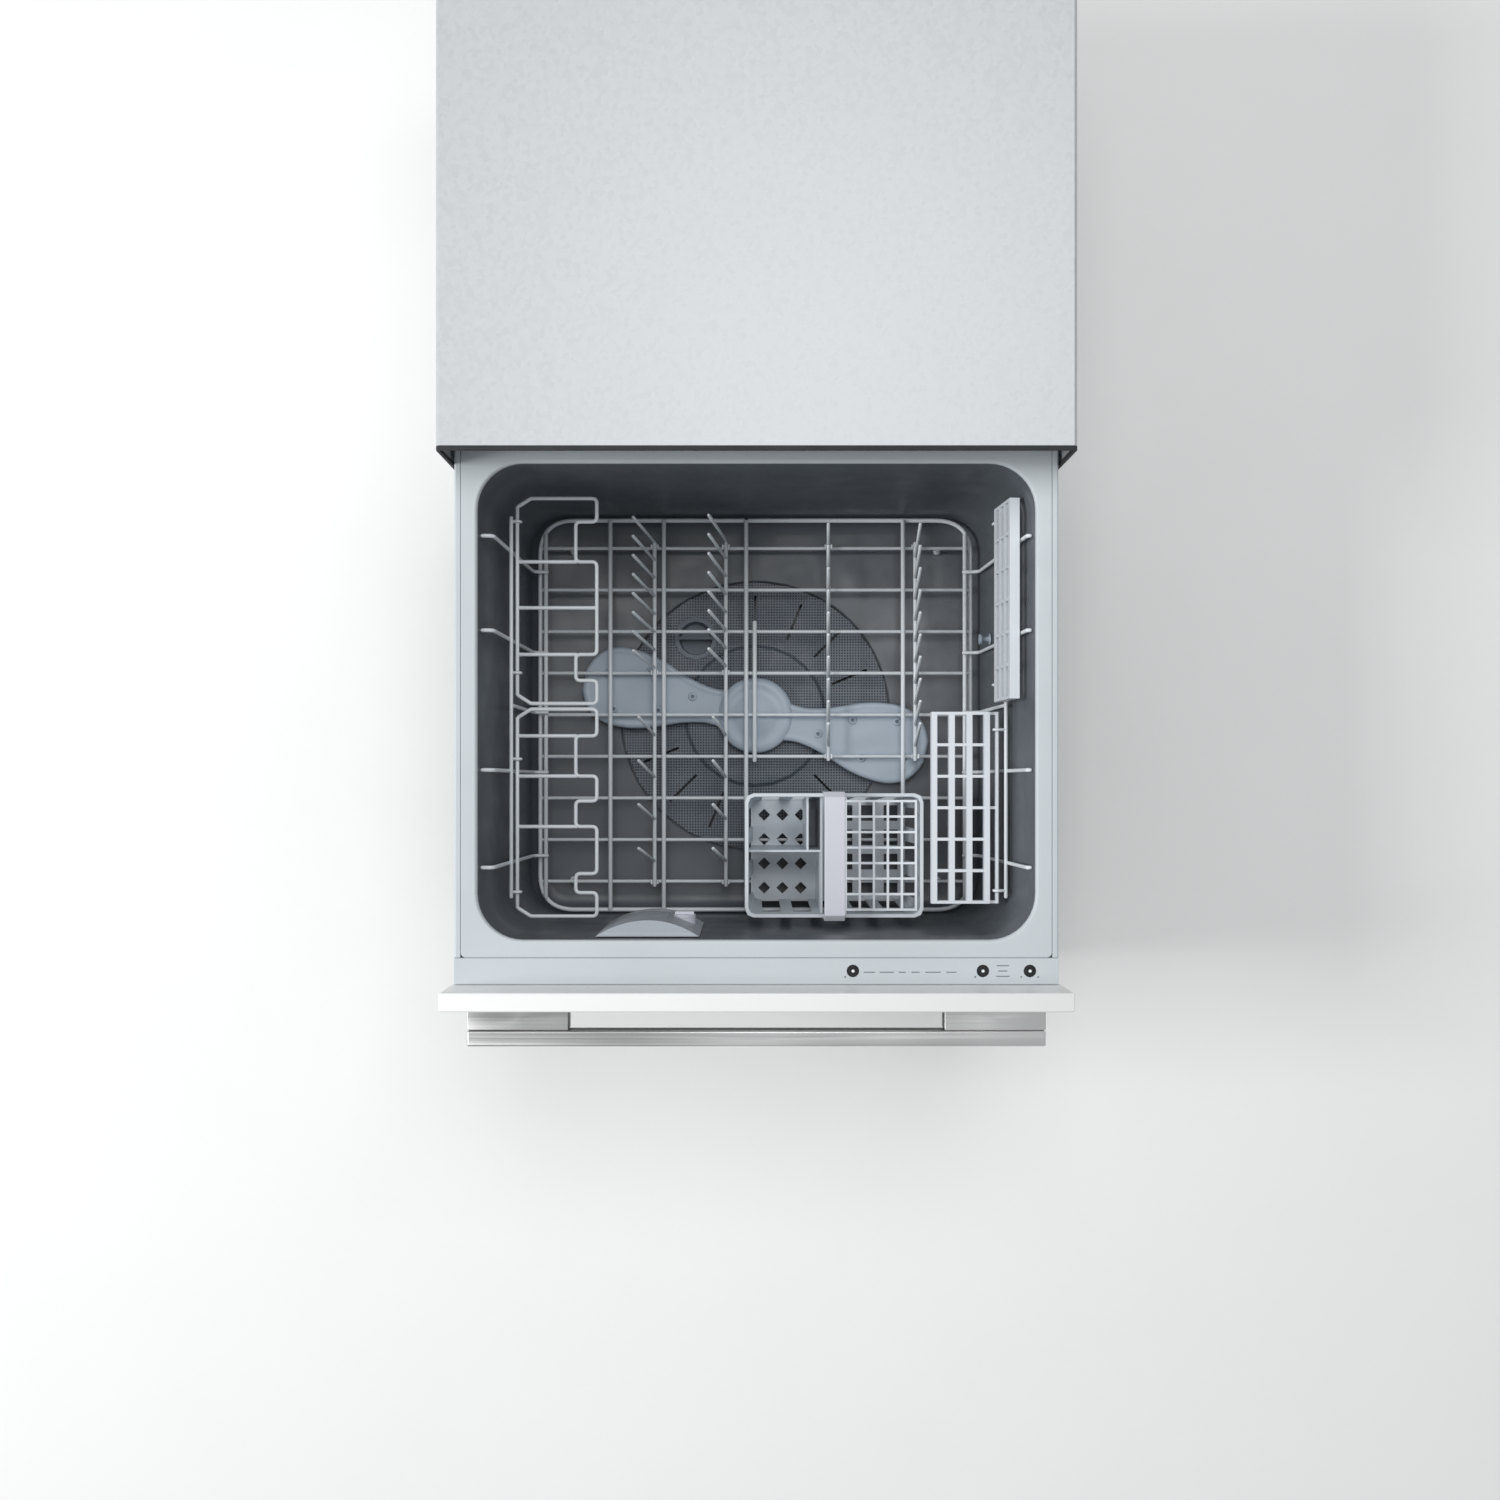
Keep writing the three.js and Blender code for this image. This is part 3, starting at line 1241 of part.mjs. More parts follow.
const leftFrame = sideFrame(-1, leftRailX, leftUprightX - 4, leftUprightX, cupRackAxis, leftEarPlaces);
const rightFrame = sideFrame(1, rightRailX, rightRailX - 4, rightRailX + 5.6, slatRackAxis, rightEarPlaces);
piece('rack_side_left', leftFrame, 'coatedWire');
piece('rack_side_right', rightFrame, 'coatedWire');

// ---------------------------------------------------------------- fold-down tine rows
const saucerPitch = (crossPitch * 3) / 7;
const platePitch = crossPitch / 2;
const saucerLean = [-17, 11];
const bowlLean = [-13, 18];
const plateLean = [-5, 22];
const rodEnd = clipHalf + 3;
const saucerFirst = lastCross + 7.2;
const bowlFirst = crossPlaces[4] - crossPitch / 2;
const plateFirst = lastCross - platePitch / 2;

// Leaning tines on a rod at x. They stand at first, first - pitch and so on.
function tines(x, first, pitch, count, height, [leanX, leanY]) {
  return Array.from({ length: count }, (_, k) => {
    const y = first - pitch * k;
    return wire([vector(x, y, tineRodZ), vector(x + leanX, y + leanY, tineRodZ + height)], tineRadius);
  });
}

function rowRod(x, frontCross) {
  return longWire(x, frontCross - rodEnd, lastCross + rodEnd, tineRodZ, tineRodRadius, 6);
}

// Saucer tines at the back and wider-set bowl tines in front of them on one rod.
function saucerRow(x, shift) {
  const saucers = tines(x, saucerFirst + shift, saucerPitch, 8, saucerTineHeight, saucerLean);
  const bowls = tines(x, bowlFirst, bowlTinePitch, 4, bowlTineHeight, bowlLean);
  return join(rowRod(x, firstCross), saucers, bowls);
}

function plateRow(x) {
  return join(rowRod(x, crossPlaces[3]), tines(x, plateFirst, platePitch, 10, plateTineHeight, plateLean));
}

piece('saucer_tines_left', saucerRow(rodColumns.saucerLeft, -2), 'coatedWire');
piece('saucer_tines_right', saucerRow(rodColumns.saucerRight, 0), 'coatedWire');
piece('plate_tines_left', plateRow(rodColumns.plateLeft), 'coatedWire');
piece('plate_tines_right', plateRow(rodColumns.plateRight), 'coatedWire');

// ---------------------------------------------------------------- cup racks
// A wire rack: a hinge wire at the side, and an inner edge that steps in and out round the cups.
function wireCupRack(rear, front, steps, crossYs) {
  const axis = -cupRackAxis;
  const outX = axis + cupRackReach;
  const notchX = outX - cupRackNotch;
  const z = cupRackZ;
  const bevelX = axis + 14;
  const edge = [vector(axis, rear - 9, z), vector(bevelX, rear, z), vector(outX, rear, z)];
  steps.forEach((y, i) => {
    const [from, to] = i % 2 === 0 ? [outX, notchX] : [notchX, outX];
    edge.push(vector(from, y, z), vector(to, y, z));
  });
  edge.push(vector(outX, front, z), vector(bevelX, front, z), vector(axis, front + 9, z));
  const inner = wire(bent(edge, 5, 1), wireRadius);
  const hinge = longWire(axis, front + 8, rear - 8, z, wireRadius, 6);
  const crosses = crossYs.map((y) => crossWire(axis, notchX + 2, y, z, wireRadius));
  return join(inner, hinge, crosses);
}

const cupRackGap = 6;
const cupRackSplit = tubCentreY + 0.95;
const cupRackRear = rackRear - 6.5;
const cupRackFront = rackFront + 7;
const rearSteps = [193.95, 152.05, 55.15, 27.95].map((along) => tubCentreY + along);
const frontSteps = [-29.95, -72.05, -98.05, -124.85, -174.05, -194.05].map((along) => tubCentreY + along);
const rearBars = [rearSteps[1], (rearSteps[1] + rearSteps[2]) / 2, rearSteps[2]];
const frontBars = [frontSteps[0], frontSteps[1], frontSteps[3]];
const leftRackRear = wireCupRack(cupRackRear, cupRackSplit + cupRackGap / 2, rearSteps, rearBars);
const leftRackFront = wireCupRack(cupRackSplit - cupRackGap / 2, cupRackFront, frontSteps, frontBars);
piece('cup_rack_left_rear', leftRackRear, 'coatedWire');
piece('cup_rack_left_front', leftRackFront, 'coatedWire');

// A moulded rack of four deep slats and thin bars, drawn lying down with its hinge at the origin.
function slatCupRack(length) {
  const columns = 3;
  const rows = 6;
  const half = slatDepth / 2;
  const cells = [];
  const cellWidth = (slatRackReach - slatRackRoot - (columns + 1) * slatWidth) / columns;
  const cellLength = (length - (rows + 1) * slatBar) / rows;
  for (let i = 0; i < columns; i += 1) {
    for (let j = 0; j < rows; j += 1) {
      const x = -slatRackReach + slatWidth + i * (cellWidth + slatWidth);
      const y = -length / 2 + slatBar + j * (cellLength + slatBar);
      cells.push(block(x, x + cellWidth, y, y + cellLength, -half - 1, half + 1));
    }
  }
  const grid = cut(block(-slatRackReach, -slatRackRoot, -length / 2, length / 2, -half, half), cells);
  const hinge = longWire(0, -length / 2, length / 2, 0, wireRadius, 6);
  const arms = [0, 3, 6].map((k) => {
    const y = -length / 2 + slatBar / 2 + (k * (length - slatBar)) / rows;
    return block(-slatRackRoot - 1, 1, y - slatBar / 2, y + slatBar / 2, -wireRadius, wireRadius - 0.3);
  });
  return join(grid, hinge, arms);
}

function placeSlatRack(name, side, angle) {
  const mesh = piece(name, slatCupRack(slatRackLength), 'rackPlastic');
  const y = tubCentreY + side * (slatRackLength / 2 + slatRackGap / 2);
  mesh.position.set(slatRackAxis, y, cupRackZ);
  mesh.rotation.y = THREE.MathUtils.degToRad(angle);
}

placeSlatRack('cup_rack_right_rear', 1, slatRackUpAngle);
placeSlatRack('cup_rack_right_front', -1, 0);

// ---------------------------------------------------------------- cutlery basket
const basketRight = basketLeft + basketWidth;
const basketFront = rackFront + basketFromRackFront;
const basketRear = basketFront + basketDepth;
const basketCentreX = (basketLeft + basketRight) / 2;
const basketCentreY = (basketFront + basketRear) / 2;
const basketBottom = longWireTop + clearance;
const basketDivideX = basketLeft + basketWidth * 0.43;
const coverLeft = basketDivideX + basketHandleWidth + 2.5;
const coverThickness = 3;
const coverBottom = basketTop - coverThickness - 0.8;
const coverPinRadius = 1.3;
const coverPinX = coverLeft + coverPinRadius;
const coverPinZ = coverBottom + coverThickness / 2;

function basketRing(z, outset) {
  const share = (basketTop - z) / (basketTop - basketBottom);
  const halfWidth = basketWidth / 2 - basketTaper * share + outset;
  const halfDepth = basketDepth / 2 - basketTaper * share + outset;
  return ring(basketCentreX, basketCentreY, halfWidth, halfDepth, basketCorner + Math.min(outset, 0), z, 2);
}

// Places from start up to end, a pitch apart.
function placesAlong(start, end, pitch) {
  return Array.from({ length: Math.ceil((end - start) / pitch) }, (_, k) => start + k * pitch);
}

function basketFloorHoles() {
  const low = basketBottom - 3;
  const high = basketBottom + 6;
  const rows = placesAlong(basketFront + 20, basketRear - 12, 28);
  const diamonds = placesAlong(basketLeft + 20, basketDivideX - 6, 21).flatMap((x) => (
    rows.map((y) => disc(7, low, high, 4).translate(x, y, 0))));
  const windows = placesAlong(basketDivideX + 34, basketRight - 12, 26).flatMap((x) => (
    rows.map((y) => block(x - 8, x + 8, y - 7, y + 11, low, high))));
  return [...diamonds, ...windows];
}

function basketWallSlots() {
  const low = basketBottom + basketSill;
  const high = basketTop - 22;
  const across = placesAlong(basketLeft + 27, basketRight - 15, 33).map((x) => (
    block(x - 10, x + 10, basketFront - 9, basketRear + 9, low, high)));
  const back = placesAlong(basketFront + 26, basketRear - 12, 38).map((y) => (
    block(basketLeft - 9, basketRight + 9, y - 11, y + 11, low, high)));
  return [...across, ...back];
}

function cutleryBasket() {
  const shell = cut(
    loft([basketRing(basketBottom, 0), basketRing(basketTop, 0)]),
    loft([basketRing(basketBottom + basketWall, -basketWall), basketRing(basketTop + 1, -basketWall)]),
    basketWallSlots(),
  );
  const lip = cut(
    loft([basketRing(basketTop - 4, 1.5), basketRing(basketTop, 1.5)]),
    loft([basketRing(basketTop - 5, -basketWall), basketRing(basketTop + 1, -basketWall)]),
  );
  const inside = loft([basketRing(basketBottom, -1), basketRing(basketTop - 1, -1)]);
  const low = basketBottom + 1;
  const high = basketTop - 14;
  const narrowX = basketDivideX - 14.5;
  const deep = block(basketDivideX - 1, basketDivideX + 1, basketFront, basketRear, low, basketTop - 8);
  const across = block(basketLeft, basketDivideX, basketCentreY + 3, basketCentreY + 5, low, high);
  const narrow = block(narrowX - 1, narrowX + 1, basketCentreY + 4, basketRear, low, high);
  const dividers = join(deep, across, narrow).intersect(solid(inside));
  const pinBore = (coverPinRadius + clearance) / Math.cos(Math.PI / 8);
  const pinHoles = [basketFront, basketRear].map((y) => (
    barAlongY(y - 4, y + 4, coverPinX, coverPinZ, pinBore, 8)));
  return cut(join(shell, lip, dividers), basketFloorHoles(), pinHoles);
}

// A bridge over the middle of the basket that it is lifted by.
function basketHandle() {
  const x0 = basketDivideX + 1.4;
  const x1 = x0 + basketHandleWidth;
  const front = basketFront - 3.4;
  const rear = basketRear + 3.4;
  const t = basketHandleThickness;
  const foot = basketTop - 26;
  const seat = basketTop + clearance;
  const z = basketHandleTop;
  const profile = polygon([
    [front, foot], [front, z - 6], [front + 6, z], [rear - 6, z], [rear, z - 6], [rear, foot],
    [rear - 1.6, foot], [rear - 1.6, seat], [rear - t - 2, seat], [rear - t - 2, z - 8], [rear - 10, z - t],
    [front + 10, z - t], [front + t + 2, z - 8], [front + t + 2, seat], [front + 1.6, seat],
    [front + 1.6, foot],
  ]);
  return alongX(profile, x0, x1);
}

// A grid that lies over the right-hand half and swings up beside the handle.
function basketCover() {
  const x0 = coverLeft;
  const x1 = basketRight - 5;
  const y0 = basketFront + 5.5;
  const y1 = basketRear - 5.5;
  const z = coverBottom;
  const cells = [];
  const columns = 5;
  const rows = 7;
  const bar = 2.4;
  const cellWidth = (x1 - x0 - bar) / columns;
  const cellDepth = (y1 - y0 - bar) / rows;
  for (let i = 0; i < columns; i += 1) {
    for (let j = 0; j < rows; j += 1) {
      const left = x0 + bar + i * cellWidth;
      const low = y0 + bar + j * cellDepth;
      const right = left + cellWidth - bar;
      const high = low + cellDepth - bar;
      cells.push(block(left, right, low, high, z - 1, z + coverThickness + 1));
    }
  }
  const grid = cut(block(x0, x1, y0, y1, z, z + coverThickness), cells);
  const pin = (from, to) => barAlongY(from, to, coverPinX, coverPinZ, coverPinRadius, 8);
  return join(grid, pin(basketFront + 0.5, y0 + 1), pin(y1 - 1, basketRear - 0.5));
}

piece('cutlery_basket', cutleryBasket(), 'basket');
piece('basket_handle', basketHandle(), 'handleGrey');
piece('basket_cover', basketCover(), 'basket');

export default model;
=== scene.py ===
"""Looks for the dishwasher drawer: round wires, smooth mouldings, softened sheet metal, finishes.

Lengths in the shape code are millimetres in the frame of the solids. Soup.piece turns them into
metres.
"""
import json
import math

import bmesh
import bpy
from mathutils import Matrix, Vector


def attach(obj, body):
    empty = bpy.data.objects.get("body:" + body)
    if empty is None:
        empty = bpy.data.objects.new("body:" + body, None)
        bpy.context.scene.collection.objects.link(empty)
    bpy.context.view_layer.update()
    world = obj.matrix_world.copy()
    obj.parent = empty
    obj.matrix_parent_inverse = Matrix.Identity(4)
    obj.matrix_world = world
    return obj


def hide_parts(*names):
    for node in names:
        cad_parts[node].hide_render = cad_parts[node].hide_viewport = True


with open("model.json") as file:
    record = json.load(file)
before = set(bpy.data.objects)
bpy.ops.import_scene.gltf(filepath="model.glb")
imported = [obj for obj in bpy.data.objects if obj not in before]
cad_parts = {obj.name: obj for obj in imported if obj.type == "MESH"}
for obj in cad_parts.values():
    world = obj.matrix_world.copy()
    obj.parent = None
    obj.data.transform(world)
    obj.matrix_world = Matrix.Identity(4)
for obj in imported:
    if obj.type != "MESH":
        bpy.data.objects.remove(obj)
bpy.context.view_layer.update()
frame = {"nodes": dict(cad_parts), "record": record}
record = frame["record"]
body_of = {node: body for body, nodes in record["behaviour"]["bodies"].items() for node in nodes}

MM = 0.001

# ---------------------------------------------------------------- places shared with the solids
# Rim and tub
RIM_TOP = 352.0
RIM_THICKNESS = 3.0
RIM_SKIRT = 14.0
RIM_REAR = -256.7
FLANGE_HALF_WIDTH = 288.1
FLANGE_CORNER = 5
CONTROL_SEAM = -755.7
SEAM_GAP = 0.3
PANEL_REAR = -782.0
OPENING_WIDTH = 544.4
OPENING_DEPTH = 464.5
OPENING_CORNER = 45.0
CENTRE_Y = -505.95
OPENING_FRONT = CENTRE_Y - OPENING_DEPTH / 2
OPENING_REAR = CENTRE_Y + OPENING_DEPTH / 2
TUB_WALL = 3.0
TUB_FLOOR = 72.0
TUB_DEPTH = RIM_TOP - TUB_FLOOR
FLOOR_FILLET = 20.0
# What the tub's half width, half depth and corner radius lose on the way down
SIDE_TAPER = 12
END_TAPER = 2
CORNER_TAPER = 3
WELL_RADIUS = 158.0
LEDGE_RADIUS = 146.0
LEDGE_Z = 65.7
WELL_FLOOR = 52.0
SHAFT_HOLE = 7.0
# Controls
BUTTONS = [94.1, 220.7, 266.5]
BUTTON_Y = -768.4
# Faces that carry screws
REAR_PANEL_FACE = 262.0
FRAME_REAR = -780.2
MOTOR_UNDERSIDE = 45.7
# Spray arm
SPRAY_REST_ANGLE = -12
SPRAY_BOTTOM = 77.5
# Racks: radii of the wires, then levels and places
WIRE = 2.0
THICK_WIRE = 2.5
TINE = 1.8
TINE_ROD = 2.25
EAR_WIRE = 1.5
CROSS_Z = 96.0
LONG_Z = 100.3
ROD_Z = 106.207
FRAME_FOOT_Z = 106.03
SIDE_RAIL_Z = 255.0
CUP_RACK_Z = 252.0
HOOK_Z = RIM_TOP - 14
RACK_FRONT = OPENING_FRONT + 6.7
RACK_REAR = OPENING_REAR - 7.3
RACK_HALF = 249.0
SIDE_WIRE_X = 242.0
CROSS_PITCH = 48.2
CROSSES = [CENTRE_Y + CROSS_PITCH * k for k in range(-4, 5)]
LONGS = [-SIDE_WIRE_X, -167.5, -105.7, -10.6, 170.5, SIDE_WIRE_X]
HOOKS = [-342, -435, -572.5, -668.5]
LEFT_AXIS = 249.5
LEFT_UPRIGHT = 259.0
LEFT_RAIL = LEFT_UPRIGHT - 2 * WIRE + 0.4
LEFT_EARS = [-312, -470, -560, -699]
RIGHT_AXIS = 252.0
RIGHT_RAIL = RIGHT_AXIS + 9
RIGHT_EARS = [-314.3, -482.6, -529.4, -697.6]
# Each tine row's place across the rack and the cross wires that carry its clips
RODS = {
    "saucer_tines_left": (-116, (0, 5, 8)),
    "saucer_tines_right": (-34, (0, 5, 8)),
    "plate_tines_left": (84, (3, 8)),
    "plate_tines_right": (184, (3, 8)),
}

# ---------------------------------------------------------------- numbers for meshes
# Degrees above which an edge is sharp, on mouldings and on round wires
SHARP_ANGLE = 32
WIRE_ANGLE = 50
# Metres within which doubled points join, in a piece made here and in a solid's copy
WELD = 1e-6
SOLID_WELD = 2e-6
# Degrees below which two faces of a solid count as one flat face
FLAT_ANGLE = 0.6
# The most that a bend takes of each of its legs
BEND_SHARE = 0.49
# The radius of a turned profile where it meets its axis
AXIS_RADIUS = 0.01


# ---------------------------------------------------------------- shapes
def bent(corners, radius, steps=6):
    """The corners of a path, each replaced by a bend."""
    corners = [Vector(corner) for corner in corners]
    points = [corners[0]]
    for before, here, after in zip(corners, corners[1:], corners[2:]):
        back = before - here
        ahead = after - here
        turn = math.pi - back.angle(ahead)
        reach = min(
            radius * math.tan(turn / 2), BEND_SHARE * back.length, BEND_SHARE * ahead.length
        )
        start = here + back.normalized() * reach
        end = here + ahead.normalized() * reach
        for step in range(steps + 1):
            t = step / steps
            points.append(start * (1 - t) ** 2 + here * 2 * t * (1 - t) + end * t ** 2)
    points.append(corners[-1])
    return points


def level_ring(centre_y, half_width, half_depth, corner, z, steps=10, along=12):
    """A level rounded rectangle as a ring of points, with some along each straight side too."""
    corners = []
    for side_x, side_y, start in ((1, -1, -0.5), (1, 1, 0.0), (-1, 1, 0.5), (-1, -1, 1.0)):
        points = []
        for step in range(steps + 1):
            angle = (start + 0.5 * step / steps) * math.pi
            x = side_x * (half_width - corner) + corner * math.cos(angle)
            y = centre_y + side_y * (half_depth - corner) + corner * math.sin(angle)
            points.append(Vector((x, y, z)))
        corners.append(points)
    ring = []
    for points, following in zip(corners, corners[1:] + corners[:1]):
        ring += points
        ring += [points[-1].lerp(following[0], (k + 1) / (along + 1)) for k in range(along)]
    return ring


def circle_like(ring, radius, z):
    """A circle on the drawer's axis with one point in the direction of each point of a ring."""
    points = []
    for point in ring:
        angle = math.atan2(point.y - CENTRE_Y, point.x)
        points.append(Vector((radius * math.cos(angle), CENTRE_Y + radius * math.sin(angle), z)))
    return points


def circle_points(centre, across, over, radius, sides):
    """Points round a circle in the plane of two unit vectors."""
    turns = [2 * math.pi * k / sides for k in range(sides)]
    return [centre + radius * (across * math.cos(t) + over * math.sin(t)) for t in turns]


class Soup:
    """Points in millimetres and faces that become one piece. A face's kind is its look's place."""

    def __init__(self):
        self.points = []
        self.faces = []
        self.kinds = []

    def loft(self, rings, kinds=None, closed=False):
        """A skin between rings of equal point counts, closed by flat ends or back onto itself."""
        count = len(rings[0])
        levels = len(rings) if closed else len(rings) - 1
        base = len(self.points)
        self.points.extend(Vector(point) for ring in rings for point in ring)
        for level in range(levels):
            here = base + level * count
            there = base + (level + 1) % len(rings) * count
            for i in range(count):
                j = (i + 1) % count
                self.faces.append([here + i, here + j, there + j, there + i])
                self.kinds.append(kinds[level] if kinds else 0)
        if not closed:
            last = base + (len(rings) - 1) * count
            self.faces.append([base + i for i in reversed(range(count))])
            self.faces.append([last + i for i in range(count)])
            self.kinds.extend([0, 0])

    def tube(self, path, radius, sides=10):
        """A round wire along a path, its two ends rounded off within its length."""
        path = [Vector(point) for point in path]
        start = (path[1] - path[0]).normalized()
        end = (path[-1] - path[-2]).normalized()
        inset = 0.55 * radius
        path = [path[0], path[0] + start * inset, *path[1:-1], path[-1] - end * inset, path[-1]]
        widths = [inset] + [radius] * (len(path) - 2) + [inset]
        directions = []
        for i, here in enumerate(path):
            back = here - path[max(i - 1, 0)]
            ahead = path[min(i + 1, len(path) - 1)] - here
            directions.append((back.normalized() + ahead.normalized()).normalized())
        across = directions[0].orthogonal().normalized()
        rings = []
        for i, (here, direction, width) in enumerate(zip(path, directions, widths)):
            if i:
                across = directions[i - 1].rotation_difference(direction) @ across
            rings.append(circle_points(here, across, direction.cross(across), width, sides))
        self.loft(rings)

    def bar(self, start, end, radius, sides=10):
        """A straight round wire."""
        self.tube([start, end], radius, sides)

    def prism(self, outline, offset):
        """A flat outline pushed along an offset."""
        outline = [Vector(point) for point in outline]
        self.loft([outline, [point + Vector(offset) for point in outline]])

    def block(self, low, high):
        """A box between two opposite corners."""
        (x0, y0, z0), (x1, y1, z1) = low, high
        self.prism([(x0, y0, z0), (x1, y0, z0), (x1, y1, z0), (x0, y1, z0)], (0, 0, z1 - z0))

    def turned(self, profile, origin, sides, axis=(0, 0, 1), kinds=None):
        """A profile of radius and height turned about an axis. It starts and ends on the axis."""
        axis = Vector(axis).normalized()
        across = axis.orthogonal().normalized()
        over = axis.cross(across)
        origin = Vector(origin)
        rings = [
            circle_points(origin + axis * height, across, over, max(radius, AXIS_RADIUS), sides)
            for radius, height in profile
        ]
        self.loft(rings, kinds)

    def piece(self, name, node, looks, replaces=True, angle=SHARP_ANGLE):
        """Makes the points and faces one object, in metres."""
        mesh = bpy.data.meshes.new(name)
        mesh.from_pydata([point * MM for point in self.points], [], self.faces)
        mesh.polygons.foreach_set("material_index", self.kinds)
        obj = linked_object(name, mesh)
        work = bmesh.new()
        work.from_mesh(mesh)
        bmesh.ops.remove_doubles(work, verts=work.verts, dist=WELD)
        bmesh.ops.recalc_face_normals(work, faces=work.faces)
        work.to_mesh(mesh)
        work.free()
        dress(obj, node, looks, replaces=replaces, angle=angle)


def linked_object(name, data):
    """A new object in the scene."""
    obj = bpy.data.objects.new(name, data)
    bpy.context.scene.collection.objects.link(obj)
    return obj


def dress(obj, node, looks, replaces=True, bevel=0.0, angle=SHARP_ANGLE):
    """Gives a piece its looks, its body and soft edges."""
    for look in looks if isinstance(looks, list) else [looks]:
        obj.data.materials.append(look)
    obj.data.shade_smooth()
    obj.data.set_sharp_from_angle(angle=math.radians(angle))
    if bevel:
        soft = obj.modifiers.new("soft_edges", "BEVEL")
        soft.width = bevel * MM
        soft.segments = 2
        soft.limit_method = "ANGLE"
        soft.angle_limit = math.radians(angle)
        soft.use_clamp_overlap = True
        soft.harden_normals = True
        soft.material = 0
    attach(obj, body_of[node])
    if replaces:
        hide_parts(node)


def softened(node, looks, bevel, angle=SHARP_ANGLE, second=None):
    """A node's solid with its hard edges rounded off.

    Faces whose normal second picks take the second look. On sheet metal the bevel stays below
    half the sheet's thickness, because a wider one folds its rims over themselves.
    """
    source = frame["nodes"][node]
    mesh = source.data.copy()
    mesh.materials.clear()
    mesh.name = node + "_soft"
    obj = linked_object(node + "_finished", mesh)
    work = bmesh.new()
    work.from_mesh(mesh)
    bmesh.ops.remove_doubles(work, verts=work.verts, dist=SOLID_WELD)
    bmesh.ops.dissolve_limit(
        work, angle_limit=math.radians(FLAT_ANGLE), verts=work.verts, edges=work.edges
    )
    work.to_mesh(mesh)
    work.free()
    kinds = [int(second is not None and second(face.normal)) for face in mesh.polygons]
    mesh.polygons.foreach_set("material_index", kinds)
    dress(obj, node, looks, bevel=bevel, angle=angle)


# ---------------------------------------------------------------- finishes
class Look:
    """Builds one procedural material on the Principled shader."""

    def __init__(self, name, roughness, metallic=0.0, **sockets):
        self.material = bpy.data.materials.new(name)
        self.material.use_nodes = True
        self.nodes = self.material.node_tree.nodes
        self.links = self.material.node_tree.links
        self.shader = self.nodes["Principled BSDF"]
        self.shader.inputs["Metallic"].default_value = metallic
        self.shader.inputs["Roughness"].default_value = roughness
        for socket, value in sockets.items():
            self.shader.inputs[socket.replace("_", " ")].default_value = value
        self.place = self.nodes.new("ShaderNodeTexCoord").outputs["Object"]

    def node(self, kind, **values):
        """A new node with values for its sockets or, where it has no such socket, its settings."""
        made = self.nodes.new(kind)
        for key, value in values.items():
            if key in made.inputs:
                made.inputs[key].default_value = value
            else:
                setattr(made, key, value)
        return made

    def stretched(self, scale):
        """The piece's own coordinates, scaled along each axis."""
        mapping = self.node("ShaderNodeMapping", Scale=scale)
        self.links.new(self.place, mapping.inputs["Vector"])
        return mapping.outputs["Vector"]

    def noise(self, scale, detail, stretch=(1, 1, 1)):
        made = self.node("ShaderNodeTexNoise", Scale=scale, Detail=detail)
        self.links.new(self.stretched(stretch), made.inputs["Vector"])
        return made.outputs["Fac"]

    def ramp(self, factor, low, high, start, end):
        """A value that goes from one number to another as the factor goes from start to end."""
        made = self.node("ShaderNodeMapRange")
        sockets = ("From Min", "From Max", "To Min", "To Max")
        for socket, value in zip(sockets, (start, end, low, high)):
            made.inputs[socket].default_value = value
        self.links.new(factor, made.inputs["Value"])
        return made.outputs["Result"]

    def colours(self, factor, stops):
        """A colour that follows the factor through stops of place and sRGB colour."""
        made = self.node("ShaderNodeValToRGB")
        elements = made.color_ramp.elements
        while len(elements) < len(stops):
            elements.new(0.5)
        for element, (place, colour) in zip(elements, stops):
            element.position = place
            element.color = linear(colour)
        self.links.new(factor, made.inputs["Fac"])
        self.links.new(made.outputs["Color"], self.shader.inputs["Base Color"])

    def rough(self, factor, low, high, start=0.35, end=0.65):
        """Roughness from low to high as the factor goes from start to end."""
        ramp = self.ramp(factor, low, high, start, end)
        self.links.new(ramp, self.shader.inputs["Roughness"])

    def bump(self, height, distance):
        """Relief of that many millimetres."""
        made = self.node("ShaderNodeBump", Strength=1.0, Distance=distance * MM)
        self.links.new(height, made.inputs["Height"])
        self.links.new(made.outputs["Normal"], self.shader.inputs["Normal"])


def linear(colour):
    """An sRGB colour of 0 to 255 as linear values."""
    shares = [value / 255 for value in colour]
    return (*[v / 12.92 if v <= 0.04045 else ((v + 0.055) / 1.055) ** 2.4 for v in shares], 1.0)


def shade(colour, factor):
    """A colour made darker or lighter."""
    return tuple(min(255, value * factor) for value in colour)


def plastic(name, colour, roughness, spread, grain, grain_scale=900, **sockets):
    """Moulded plastic: a slow drift of tone, fine spark-eroded texture and uneven gloss."""
    look = Look(name, roughness, **sockets)
    dark = shade(colour, 1 - spread)
    light = shade(colour, 1 + spread * 0.4)
    look.colours(look.noise(6, 4), [(0.3, dark), (0.7, light)])
    look.rough(look.noise(22, 5), roughness - 0.06, roughness + 0.08)
    look.bump(look.noise(grain_scale, 2), grain)
    return look.material


